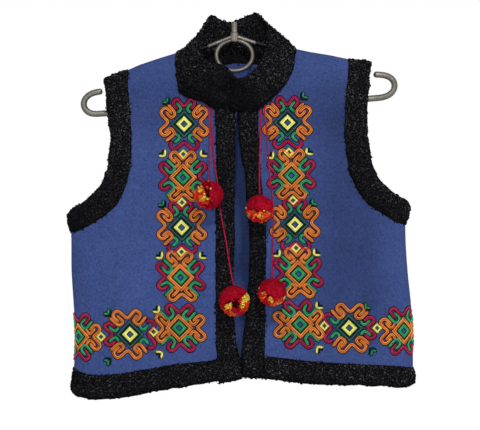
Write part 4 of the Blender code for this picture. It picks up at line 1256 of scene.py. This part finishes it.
def panel_grid(rows, steps, top_height, top_fade, edge):
    """Grid of angle and height for a felt panel from its rows, let down onto the hem."""
    first, top = rows[0], rows[-1]
    a0, z0, a1, z1 = (rows[:, i, None] for i in range(4))
    angle = a0 + (a1 - a0) * steps
    z = z0 + (z1 - z0) * steps
    up = top[1] + (top[3] - top[1]) * steps
    drop = top[1] - z0 + (top[3] - z1 - top[1] + z0) * (steps if edge else 0.0)
    z = z + (top_height - up) * np.maximum(0.0, 1.0 - drop / top_fade) ** 2
    hem = first[1] + (first[3] - first[1]) * steps
    low = np.maximum(0.0, 1.0 - (z0 - first[1]) / HEM_FADE)
    return angle, z + (hem_at(angle) - hem) * low ** 2


def front_panel(name, side_rows, armhole, underarm, hand, thick, surface):
    """One front, from its side to its front edge; hand is -1 on the left and 1 on the right."""
    seam = hand * (SIDE_SEAM - SEAM_GAP)
    rows = [(seam, z, angle_of(x, fz), fz) for z, x, fz in side_rows]
    low = armhole[-1]
    low_z = low[1] - low[4]
    edge_x = (underarm[2] * 2.0 + side_rows[-1][1]) / 3.0
    edge_z = (underarm[3] * 2.0 + side_rows[-1][2]) / 3.0
    rows.append((hand * (math.pi - abs(angle_of(low[0], low_z)) - SEAM_GAP), low_z,
                 angle_of(edge_x, edge_z), edge_z))
    rows.append((hand * math.pi / 2.0, underarm[0],
                 angle_of(underarm[2], underarm[3]), underarm[3]))
    for x, z, _, _, _, nx, nz in reversed(armhole):
        rows.append((angle_of(x, z), z, angle_of(nx, nz), nz))
    rows, steps = four_times(rows), four_times(FRONT_STEPS)
    top = rows[-1]
    middle, half = sides(top[1] + (top[3] - top[1]) * steps)
    ridge = line_at(RIDGE, middle + half * np.sin(top[0] + (top[2] - top[0]) * steps))
    angle, z = panel_grid(rows, steps, ridge, FRONT_FADE, False)
    if hand > 0.0:
        angle, z = angle[:, ::-1], z[:, ::-1]
    points, outs = skin_round(angle, z)
    return solid(name, *sheet_of(points, outs, thick), surface)


def back_panel(name, thick, surface):
    """The back, from side to side, cut out for the neck at the top."""
    rows = [(-SIDE_SEAM - SEAM_GAP, left[0], SIDE_SEAM + SEAM_GAP, right[0])
            for left, right in zip(SIDE_LEFT, SIDE_RIGHT)]
    for left, right in zip(reversed(ARMHOLE_LEFT), reversed(ARMHOLE_RIGHT)):
        left_z, right_z = left[1] - left[4], right[1] - right[4]
        rows.append((angle_of(left[0], left_z, 1.0), left_z,
                     angle_of(right[0], right_z, 1.0), right_z))
    low = rows[len(SIDE_LEFT)]
    rows[len(SIDE_LEFT)] = (low[0] - SEAM_GAP, low[1], low[2] + SEAM_GAP, low[3])
    rows = np.array(rows)
    rows[:, 2] -= 2.0 * math.pi
    top = rows[-1]

    def share(x, z):
        """How far across the back's top row a point of the neck lies."""
        angle = angle_of(x, z, 1.0)
        return (angle - (2.0 * math.pi if angle > 0.0 else 0.0) - top[0]) / (top[2] - top[0])

    edge = [share(row[0], row[1]) for row in NECK_BACK]
    steps = [edge[0] * k for k in BACK_STEPS] + edge
    steps += [1.0 - (1.0 - edge[-1]) * k for k in reversed(BACK_STEPS)]
    rows, steps = four_times(rows), four_times(steps)
    middle, half = sides(top[1] + (top[3] - top[1]) * steps)
    x = middle + half * np.sin(top[0] + (top[2] - top[0]) * steps)
    neck = (x > NECK_BACK[0][0]) & (x < NECK_BACK[-1][0])
    height = np.where(neck, line_at([row[:2] for row in NECK_BACK], x), line_at(RIDGE, x))
    angle, z = panel_grid(rows, steps, height, BACK_FADE, True)
    points, outs = skin_round(angle[:, ::-1], z[:, ::-1])
    return solid(name, *sheet_of(points, outs, thick), surface)


def sewn(seam, edge, middle=None):
    """Centres and directions across a band from its seam to its free edge."""
    towards = edge[0] - seam[0]
    towards /= np.linalg.norm(towards)
    start = seam[0] - towards * TUCK
    end = edge[0] - towards * CURL_OUT
    middle = middle or ((start + end) / 2.0, (seam[1] + edge[1]) / 2.0)
    centres = np.array((start, middle[0], end))
    outs = np.array((seam[1], middle[1], edge[1]))
    outs /= np.linalg.norm(outs, axis=1, keepdims=True)
    return np.array((centres - outs * FELT / 2.0, outs))


def armhole_lines(armhole, underarm, hand):
    """Lines across the trim round one armhole, a loop over the shoulder and under the arm."""
    def line(x, z, ex, ez, face):
        """One line from the seam to the opening's edge; the first lies on the ridge itself."""
        seam, edge = skin(x, z, face), skin(ex, ez, face, underarm[4])
        middle = skin((x + ex) / 2.0, (z + ez) / 2.0, face, underarm[4] / 2.0)
        if x == armhole[0][0] and z == armhole[0][1]:
            for place, _ in (seam, edge, middle):
                place[1] = 0.0
            middle[0][2] = line_at(RIDGE, middle[0][0])
        return sewn(seam, edge, middle)

    lines = [line(*row[:4], -1.0) for row in armhole]
    turn = hand * math.pi / 2.0
    lines.append(sewn(
        skin_round(turn, underarm[0]), skin_round(turn, underarm[1], underarm[4]),
        skin_round(turn, (underarm[0] + underarm[1]) / 2.0, underarm[4] / 2.0)))
    for x, z, ex, ez, lower, _, _ in reversed(armhole[1:]):
        lines.append(line(x, z - lower, ex, ez - lower, 1.0))
    return lines


def collar_lines():
    """Lines across the stand collar from the neck seam to its top edge."""
    seam, edge = [], []
    for i, (x, z, tx, tz, ty) in enumerate(COLLAR):
        behind = COLLAR_BACK[0] < i < COLLAR_BACK[1]
        place, off = skin(x, z, 1.0 if behind else -1.0)
        if i in COLLAR_BACK:        # the two on the ridge itself
            place[1] = 0.0
        elif not behind:
            place = place + off * COLLAR_LIFT
        seam.append(place)
        edge.append(np.array((tx, ty, tz)))
    lines = []
    for i in range(len(seam)):
        before, after = max(i - 1, 0), min(i + 1, len(seam) - 1)
        up = edge[i] - seam[i]
        out = np.cross(up, (seam[after] + edge[after]) - (seam[before] + edge[before]))
        out /= np.linalg.norm(out)
        swell, across, back = (line_at(COLLAR_SWELL, i, column) for column in (1, 2, 3))
        deeper = NECK_TUCK if COLLAR_BACK[0] <= i <= COLLAR_BACK[1] else 1.0
        start = seam[i] - up / np.linalg.norm(up) * TUCK * deeper
        start[1] += back * 0.6
        middle = (start + edge[i]) / 2.0 + out * (swell - 1.0) + (across, back, 0.0)
        lines.append(np.array(((start, middle, edge[i]), (out, out, out))))
    return lines


def longer(lines, extra):
    """A band's lines with both its ends carried on under what it meets."""
    lines = np.array(lines)
    for end, near in ((0, 1), (-1, -2)):
        along = lines[end, 0] - lines[near, 0]
        lines[end, 0] += along / np.linalg.norm(along, axis=1, keepdims=True) * extra
    return lines


def boucle_piece(name, lines, closed, seed, inside, sizes, surface):
    """A padded trim covered in curls; the side against the body has fewer of them."""
    lines = even(lines if closed else longer(lines, END_TUCK), TRIM_STEP, closed)
    width = np.linalg.norm(np.diff(lines[:, 0], axis=1), axis=2).sum(axis=1).mean()
    across = max(int(round(width / TRIM_STEP)), 7)
    points, faces = padded_band(lines, sizes.trim / MM, across, closed)
    made = face_out(solid(name, points, faces, surface))
    mesh = made.data
    cover = np.full((len(lines), 2 * across - 2), inside)
    cover[:, :across] = 1.0
    cover[:, -(across // 4):] = 0.0     # behind, beside the seam
    cover[:, 0] = COVER_SEAM
    store(mesh, "cover", cover.ravel())
    place = np.array([v.co for v in mesh.vertices])
    normal = np.array([v.normal for v in mesh.vertices])
    rng = np.random.default_rng(seed)
    lump = rng.uniform(-LUMP_FINE, LUMP_FINE, len(place))
    for wave in rng.normal(0.0, 1.0 / LUMP_LONG, (LUMPS, 3)) / MM:
        lump += LUMP_HIGH * np.sin(place @ wave * 2.0 + rng.uniform(0.0, FULL_TURN))
    mesh.vertices.foreach_set("co", (place + normal * lump[:, None] * MM).ravel())
    nodes_on(made, name + "_curls", boucle_tree, {
        "Radius": float(sizes.curl), "Spacing": float(sizes.curl_gap), "Seed": seed,
        "Material": surface})
    return made


def stitch_path(points, spacing):
    """A chart line as close points on a smooth curve."""
    many = finer(points, len(points) * 8) if len(points) > 2 else points
    run = run_of(many)
    at = np.linspace(0.0, run[-1], max(int(run[-1] / spacing), 3) + 1)
    return np.stack([np.interp(at, run, many[:, i]) for i in range(2)], axis=1)


def ring_sides(corners, half):
    """The straight sides of a ring, each a little longer than from corner to corner."""
    sides_of = []
    for a, b in zip(corners, np.roll(corners, -1, 0)):
        along = (b - a) / np.linalg.norm(b - a) * half * CORNER_LAP
        sides_of.append(np.array((a - along, b + along)))
    return sides_of


def stroke_width(kind, count):
    """Shares of a stroke's half width from one end to the other."""
    near = np.linspace(-1.0, 1.0, count)
    if kind == "leaf":
        return (1.0 - np.abs(near) ** 1.8) ** 0.8 + 0.06
    if kind == "line":
        return np.minimum((1.0 - np.abs(near)) * count / 7.0 + 0.45, 1.0) * LINE_WIDE
    return np.ones_like(near)


def strokes():
    """Every stroke of the embroidery: thread, middle of its motif, path and half widths in mm."""
    for chart, x, z, turns in SEWN_MOTIFS:
        for thread, half, mirrored, kind, points in chart:
            points = np.array(points, float)
            lines = ring_sides(points, half) if kind == "ring" else [points]
            flips = (1.0, -1.0) if mirrored else (1.0,)
            for line, flip in itertools.product(lines, flips):
                path = stitch_path(line * (flip, 1.0), PATH_STEP)
                for _ in range(turns):
                    path = np.stack((-path[:, 1], path[:, 0]), axis=1)
                wide = stroke_width(kind, len(path))
                yield thread, x, z, path * CHART_STEP, half * CHART_STEP * wide


def on_cloth(across, up, x, z):
    """Lays chart points on the front round a motif's middle; measures run along the cloth."""
    middle, half = sides(z)
    turn = math.asin(max(min((x - middle) / half, 1.0), -1.0))
    angles = np.linspace(-SIDE_SEAM, SIDE_SEAM, 1201)
    run = run_of(skin_round(angles, np.full_like(angles, z))[0][:, :2])
    angle = np.interp(np.interp(turn, angles, run) + across, run, angles)
    place, out = skin_round(angle, z + up)
    return place, out, np.abs(angle) < SIDE_SEAM - SEAM_CLEAR


def embroidery_lines():
    """The strokes laid on the cloth, by thread: places, directions outwards, half widths, edges."""
    found = {}
    for thread, x, z, path, half in strokes():
        place, out, kept = on_cloth(path[:, 0], path[:, 1], x, z)
        line = found.setdefault(thread, {"place": [], "out": [], "half": [], "edges": []})
        first = len(line["place"])
        line["place"] += list(place + out * STITCH_LIFT)
        line["out"] += list(out)
        line["half"] += list(half * MM)
        line["edges"] += [(first + i, first + i + 1) for i in range(len(place) - 1)
                          if kept[i] and kept[i + 1]]
    return found


def painted_shade_edges(thread, beyond):
    """A dark ribbon along every stroke of a thread: painted shade where it dives into the felt."""
    points, faces = [], []
    for dye, x, z, path, half in strokes():
        if dye != thread:
            continue
        path, half = path[::2], half[::2]
        along = np.gradient(path, axis=0)
        along /= np.linalg.norm(along, axis=1, keepdims=True)
        path[0] -= along[0] * beyond
        path[-1] += along[-1] * beyond
        aside = np.stack((-along[:, 1], along[:, 0]), axis=1) * (half + beyond)[:, None]
        rows = []
        for share, lift in SHADE_EDGE_SECTION:
            at = path + aside * share
            place, out, kept = on_cloth(at[:, 0], at[:, 1], x, z)
            rows.append(place + out * lift)
        kept = np.flatnonzero(kept)
        if len(kept) < 2:
            continue
        first = len(points)
        points += [row[i] for i in kept for row in rows]
        faces += [tuple(first + i for i in face)
                  for face in ring_faces(len(kept), len(SHADE_EDGE_SECTION), False)]
    return points, faces


def embroidery_piece(thread, line, seed, sizes, surface):
    """All the satin stitch of one thread, with the painted shade edges beside it."""
    used = sorted({i for edge in line["edges"] for i in edge})
    order = {old: new for new, old in enumerate(used)}
    mesh = bpy.data.meshes.new("embroidery_" + thread)
    mesh.from_pydata([tuple(line["place"][i] * MM) for i in used],
                     [(order[a], order[b]) for a, b in line["edges"]], [])
    mesh.materials.append(surface)
    store(mesh, "out", [line["out"][i] for i in used])
    store(mesh, "half", [line["half"][i] for i in used])
    made = placed("embroidery_" + thread, mesh)
    nodes_on(made, "satin_" + thread, stitch_tree, {
        "Spacing": float(sizes.stitch_gap), "Thread": float(sizes.thread), "Seed": seed,
        "Material": surface})
    points, faces = painted_shade_edges(thread, sizes.painted_shade / MM)
    edges = solid("sunk_edges_" + thread, points, faces, surface)
    store(edges.data, "reach", [EDGE_REACH] * len(points))
    return joined(made, edges)


def unit(vector):
    """A direction of length one."""
    return np.array(vector) / np.linalg.norm(vector)


def degrees_between(one, other):
    """The angle between two directions."""
    return math.degrees(math.acos(max(min(one.dot(other), 1.0), -1.0)))


def pompom_ball(name, centre, radius, cap, cap_reach, rng, seed, surface):
    """The wool under the ends: full under the crimson cap, lower under the cut ends, where it is
    painted dark as shade.
    """
    side = unit(np.cross(cap, (0.3, 1.0, 0.2)))
    other = np.cross(cap, side)
    around = POMPOM_AROUND
    points, tone = [cap * radius * CAP_REACH], [CAP_TONE]
    for r in range(1, POMPOM_RINGS):
        polar = math.pi * r / POMPOM_RINGS
        past = math.degrees(polar) - cap_reach
        for k in range(around):
            turn = 2.0 * math.pi * k / around
            inner = min(1.0, max(0.0, (past + 4.0 * math.sin(5.0 * turn + seed)) / 9.0))
            reach = radius * (CAP_REACH * (1.0 - inner) + CORE_REACH * inner)
            reach += rng.uniform(-0.3, 0.3)
            sideways = (side * math.cos(turn) + other * math.sin(turn)) * math.sin(polar)
            points.append((cap * math.cos(polar) + sideways) * reach)
            tone.append(CAP_TONE - (CAP_TONE - CORE_TONE) * min(1.0, inner * 2.0))
    points.append(-cap * radius * CORE_REACH)
    tone.append(CORE_TONE)
    faces = [(0, 1 + (k + 1) % around, 1 + k) for k in range(around)]
    for r in range(POMPOM_RINGS - 2):
        a, b = 1 + r * around, 1 + (r + 1) * around
        faces += [(a + k, a + (k + 1) % around, b + (k + 1) % around, b + k)
                  for k in range(around)]
    last = len(points) - 1
    faces += [(last - around + k, last - around + (k + 1) % around, last) for k in range(around)]
    ball = face_out(solid(name, np.array(points) + centre, faces, surface))
    store(ball.data, "tone", tone)
    return ball


def pompom_ends(cap, cap_reach, hollow, hollow_reach, patches, rng):
    """Strands over a pompom: direction, how far out in radii, thickness and tone."""
    seen = np.array([(x, -math.sqrt(max(1.0 - x * x - z * z, 0.02)), z) for x, z, _ in patches])
    seen /= np.linalg.norm(seen, axis=1, keepdims=True)
    tones_of = [tone for _, _, tone in patches]
    ends = []
    for i in range(TUFTS):
        height = 1.0 - 2.0 * (i + 0.5) / TUFTS
        turn = i * TUFT_TURN
        flat = math.sqrt(1.0 - height * height)
        aim = np.array((flat * math.cos(turn), flat * math.sin(turn), height))
        aim = unit(aim + rng.normal(0.0, 0.03, 3))
        from_cap = degrees_between(aim, cap)
        from_hollow = degrees_between(aim, hollow)
        if from_cap < cap_reach - 3.0:
            ends.append((aim, rng.uniform(0.955, 1.0), rng.uniform(1.25, 1.6),
                         rng.uniform(0.20, 0.30)))
        # Short ends in the hollow, in dark tones that are painted shade
        elif from_hollow < hollow_reach * rng.uniform(0.85, 1.1):
            ends.append((aim, rng.uniform(0.60, 0.76), 0.9, rng.uniform(0.03, 0.17)))
        # Ends just past the cap's edge, in dark tones that are painted shade
        elif from_cap < cap_reach + 8.0 and rng.uniform() < 0.6:
            ends.append((aim, rng.uniform(0.74, 0.88), 0.8, rng.uniform(0.04, 0.20)))
        elif rng.uniform() < 0.86:
            near = seen @ (aim + rng.normal(0.0, 0.07, 3))
            dye = tones_of[int(np.argmax(near))]
            if near.max() < 0.80:
                dye = rng.choice(STRAY_DYES)
            ends.append((aim, rng.uniform(0.86, 1.03), rng.uniform(0.75, 1.15),
                         dye * rng.uniform(0.86, 1.0)))
    return ends


def pompom_piece(name, centre, radius, dyes, seed, sizes, surface):
    """A wool pompom: a close crimson cap, and cut coloured ends round a hollow that is painted dark
    as shade.
    """
    rng = np.random.default_rng(seed)
    cap, cap_reach, hollow, hollow_reach, patches = dyes
    cap, hollow = unit(cap), unit(hollow)
    ball = pompom_ball(name, centre, radius, cap, cap_reach, rng, seed, surface)
    ends = pompom_ends(cap, cap_reach, hollow, hollow_reach, patches, rng)
    mesh = bpy.data.meshes.new(name + "_ends")
    mesh.from_pydata([tuple(centre * MM)] * len(ends), [], [])
    mesh.materials.append(surface)
    for label, values in zip(("aim", "long", "thick", "tone"), zip(*ends)):
        store(mesh, label, np.array(values) * (radius * MM if label == "long" else 1.0))
    tufts = placed(name + "_ends", mesh)
    nodes_on(tufts, name + "_tufts", tuft_tree, {"Radius": float(sizes.tuft), "Material": surface})
    return joined(ball, tufts)


def joined(first, *others):
    """Several pieces as one mesh."""
    with bpy.context.temp_override(active_object=first,
                                   selected_editable_objects=[first, *others]):
        bpy.ops.object.join()
    return first


def cord_piece(name, path, surface):
    """A twisted cord hanging from the collar's seam to its pompom."""
    path = even(np.array(path)[:, None, :], CORD_STEP)[:, 0]
    points, faces = tube(path, CORD * CORD_PLIES, 8, CORD_LOBES, CORD_PITCH)
    return face_out(solid(name, points, faces, surface)), path


def rod_piece(name, path, radii, surface, sides_round, node):
    """A smooth rod of the hanger, which stands for its CAD node."""
    points, faces = tube(path, radii, sides_round)
    return finish_piece(face_out(solid(name, points, faces, surface)), "steel", node)


def rounded_ends(path, radius):
    """A rod's path bent smoothly through its points, and its radii with the ends rounded off."""
    path = np.array(path, float)
    run = run_of(path)
    at = np.linspace(0.0, run[-1], int(run[-1] / ROD_STEP) + 2)
    bent = np.stack([np.interp(at, run, path[:, i]) for i in range(3)], axis=1)
    for _ in range(4):
        bent[1:-1] = (bent[:-2] + 2.0 * bent[1:-1] + bent[2:]) / 4.0
    tip = radius * (1.0 - np.cos(np.linspace(0.2, math.pi / 2.0, 6)))
    places = np.concatenate((tip, at[(at > radius * 1.2) & (at < run[-1] - radius * 1.2)],
                             run[-1] - tip[::-1]))
    path = np.stack([np.interp(places, at, bent[:, i]) for i in range(3)], axis=1)
    near = np.minimum(places, run[-1] - places)
    return path, radius * np.sqrt(1.0 - np.clip(1.0 - near / radius, 0.0, 1.0) ** 2)


def finish_piece(made, slot, *nodes):
    """A piece rides on the vest's one body and stands for its CAD nodes; the slot it is given is
    not used.
    """
    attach(made, "root")
    if nodes:
        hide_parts(*nodes)
    return made


# ---------------------------------------------------------------- operators

class FOLKVEST_OT_stage(bpy.types.Operator):
    """Camera, soft studio lights and a pale floor"""
    bl_idname = "folkvest.stage"
    bl_label = "Studio"

    def execute(self, context):
        scene = context.scene
        eye = bpy.data.objects.new("camera", bpy.data.cameras.new("camera"))
        eye.location = CAMERA_SPOT
        eye.rotation_euler = (math.radians(90.0), 0.0, 0.0)
        eye.data.sensor_width = 36.0
        eye.data.lens = CAMERA_LENS
        scene.collection.objects.link(eye)
        scene.camera = eye
        for name, spot, size, power in LIGHTS:
            lamp = bpy.data.lights.new(name, "AREA")
            lamp.size = size
            lamp.energy = power
            lamp.color = LIGHT_COLOUR
            light = bpy.data.objects.new(name, lamp)
            light.location = spot
            aim = Vector(LIT_SPOT) - Vector(spot)
            light.rotation_euler = aim.to_track_quat("-Z", "Y").to_euler()
            scene.collection.objects.link(light)
        world = bpy.data.worlds.new("white_studio")
        world.use_nodes = True
        sky = world.node_tree.nodes["Background"].inputs
        sky["Color"].default_value = (1.0, 1.0, 1.0, 1.0)
        seen = Bench(world.node_tree).node("ShaderNodeLightPath")
        world.node_tree.links.new((seen * SKY_SEEN + SKY_LIGHT).socket, sky["Strength"])
        scene.world = world
        scene.view_settings.view_transform = "Standard"
        reach, ground = FLOOR_REACH / MM, FLOOR_Z / MM
        corners = [(x * reach, y * reach, ground) for x, y in ((-1, -1), (1, -1), (1, 1), (-1, 1))]
        floor = solid("floor", corners, [(0, 1, 2, 3)], floor_surface(), False)
        return {"FINISHED"}


class FOLKVEST_OT_cords(bpy.types.Operator):
    """Twisted cords with a wool pompom on each"""
    bl_idname = "folkvest.cords"
    bl_label = "Cords and pompoms"

    def execute(self, context):
        sizes, colours = context.scene.folk_vest_sizes, context.scene.folk_vest_colours
        yarn, wool = cord_surface(tuple(colours.cord)), wool_surface(tuple(colours.wool))
        for i, ((node, path), (ball, *centre, radius)) in enumerate(zip(CORDS, POMPOMS)):
            cord, line = cord_piece("twisted_" + node, path, yarn)
            finish_piece(cord, "crimson_cord", node)
            pompom = pompom_piece("wool_" + ball, np.array(centre), radius, POMPOM_DYES[i],
                                  SEED_POMPOMS + i, sizes, wool)
            finish_piece(pompom, "crimson_wool", ball)
            tuple(line[0] * MM)
            [tuple(p * MM) for p in line]
        return {"FINISHED"}


class FOLKVEST_OT_felt(bpy.types.Operator):
    """Two fronts and a back of blue felt"""
    bl_idname = "folkvest.felt"
    bl_label = "Felt panels"

    def execute(self, context):
        thick = context.scene.folk_vest_sizes.felt / MM
        cloth = felt_surface(tuple(context.scene.folk_vest_colours.felt))
        left = front_panel("felt_front_left", SIDE_LEFT, ARMHOLE_LEFT, UNDERARM_LEFT, -1.0,
                           thick, cloth)
        right = front_panel("felt_front_right", SIDE_RIGHT, ARMHOLE_RIGHT, UNDERARM_RIGHT, 1.0,
                            thick, cloth)
        back = back_panel("felt_back", thick, cloth)
        arms = ["steel_arm_left", "steel_arm_right"]
        for made, node, (flat, area), rests_on in (
                (left, "front_left", FLAT_FRONT_LEFT, arms[:1]),
                (right, "front_right", FLAT_FRONT_RIGHT, arms[1:]),
                (back, "back", FLAT_BACK, arms)):
            face_out(made)
            made.data.set_sharp_from_angle(angle=math.radians(SHARP_EDGE))
            finish_piece(made, "blue_felt", node)
        return {"FINISHED"}


class FOLKVEST_OT_trims(bpy.types.Operator):
    """Black boucle trims: front edges, hem, armholes and the stand collar"""
    bl_idname = "folkvest.trims"
    bl_label = "Boucle trims"

    def execute(self, context):
        sizes = context.scene.folk_vest_sizes
        yarn = boucle_surface(tuple(context.scene.folk_vest_colours.boucle))
        runs = []       # node, lines, closed, share of curls on the side against the body
        for side, rows in (("left", BAND_LEFT), ("right", BAND_RIGHT)):
            lines = [sewn(skin(a, b, -1.0), skin(c, d, -1.0)) for a, b, c, d in rows]
            runs.append(("front_band_" + side, lines, False, 0.3))
        lines = [sewn(skin_round(math.radians(degrees), top),
                      skin_round(math.radians(degrees), bottom, HEM_FLARE))
                 for degrees, top, bottom in HEM]
        runs.append(("hem_band", lines, False, 0.3))
        for side, armhole, underarm, hand in (
                ("left", ARMHOLE_LEFT, UNDERARM_LEFT, -1.0),
                ("right", ARMHOLE_RIGHT, UNDERARM_RIGHT, 1.0)):
            lines = armhole_lines(armhole, underarm, hand)
            runs.append(("armhole_trim_" + side, lines, True, 0.4))
        runs.append(("collar", collar_lines(), False, 1.0))
        for seed, (node, lines, closed, inside) in enumerate(runs, SEED_TRIMS):
            made = boucle_piece("boucle_" + node, lines, closed, seed, inside, sizes, yarn)
            finish_piece(made, "black_boucle", node)
        return {"FINISHED"}


class FOLKVEST_OT_embroidery(bpy.types.Operator):
    """Satin-stitched borders down the fronts and along the hem"""
    bl_idname = "folkvest.embroidery"
    bl_label = "Embroidery"

    def execute(self, context):
        sizes, colours = context.scene.folk_vest_sizes, context.scene.folk_vest_colours
        for seed, (thread, line) in enumerate(sorted(embroidery_lines().items()), SEED_THREADS):
            surface = thread_surface(thread, tuple(getattr(colours, thread)))
            made = embroidery_piece(thread, line, seed, sizes, surface)
            finish_piece(made, None)
        return {"FINISHED"}


class FOLKVEST_OT_hanger(bpy.types.Operator):
    """Steel hanger: bar with upturned ends, two arms, ring and stem"""
    bl_idname = "folkvest.hanger"
    bl_label = "Hanger"

    def execute(self, context):
        colour = tuple(context.scene.folk_vest_colours.steel)
        steel = steel_surface(colour)
        path, radii = rounded_ends([(x, 0.0, z) for x, z in BAR], ROD_BAR)
        rod_piece("steel_bar", path, radii, steel, 16, "hanger_bar")
        dark_beyond = steel_surface(colour, "dipped_steel", ARM_BLACK_FROM)
        for side, arm in (("left", ARM_LEFT), ("right", ARM_RIGHT)):
            far = abs(arm[4][0])      # where an arm has come back into the bar's plane
            path = [(x, -ARM_FORWARD * max(0.0, 1.0 - abs(x) / far), z) for x, z in arm]
            path, radii = rounded_ends(path, ROD_ARM)
            rod_piece("steel_arm_" + side, path, radii, dark_beyond, 14, "hanger_arm_" + side)
        cx, cy, cz = RING_CENTRE
        turn = np.radians(np.linspace(RING_START, 360.0 - RING_START, 97))
        ring = np.stack((cx + RING_RADIUS[0] * np.sin(turn), np.full_like(turn, cy),
                         cz + RING_RADIUS[1] * np.cos(turn)), axis=1)
        path, radii = rounded_ends(ring, ROD_RING)
        rod_piece("steel_ring", path, radii, steel, 16, "hanger_ring")
        wide = line_at(STEM, STEM_RINGS)
        wide[0] -= STEM_ROUNDING
        path = [(0.0, 0.0, z) for z in STEM_RINGS]
        rod_piece("steel_stem", path, wide, steel, 24, "hanger_stem")
        return {"FINISHED"}


class FOLKVEST_PT_panel(bpy.types.Panel):
    """Lists the vest's sizes, colours and steps"""
    bl_idname = "FOLKVEST_PT_panel"
    bl_label = "Folk vest"
    bl_space_type = "VIEW_3D"
    bl_region_type = "UI"
    bl_category = "Folk Vest"

    def draw(self, context):
        for group in (context.scene.folk_vest_sizes, context.scene.folk_vest_colours):
            box = self.layout.box()
            for name in group.__annotations__:
                box.prop(group, name)
        for step in STEPS:
            self.layout.operator(step.bl_idname)


STEPS = (FOLKVEST_OT_stage, FOLKVEST_OT_cords, FOLKVEST_OT_hanger, FOLKVEST_OT_felt,
         FOLKVEST_OT_trims, FOLKVEST_OT_embroidery)
CLASSES = (FolkVestSizes, FolkVestColours, *STEPS, FOLKVEST_PT_panel)


def register():
    for made in CLASSES:
        bpy.utils.register_class(made)
    bpy.types.Scene.folk_vest_sizes = bpy.props.PointerProperty(type=FolkVestSizes)
    bpy.types.Scene.folk_vest_colours = bpy.props.PointerProperty(type=FolkVestColours)


def unregister():
    del bpy.types.Scene.folk_vest_colours
    del bpy.types.Scene.folk_vest_sizes
    for made in reversed(CLASSES):
        bpy.utils.unregister_class(made)


def main():
    """Makes the whole vest in order."""
    register()
    bpy.ops.folkvest.stage()
    bpy.ops.folkvest.cords()
    bpy.ops.folkvest.hanger()
    bpy.ops.folkvest.felt()
    bpy.ops.folkvest.trims()
    bpy.ops.folkvest.embroidery()


if __name__ == "__main__":
    main()
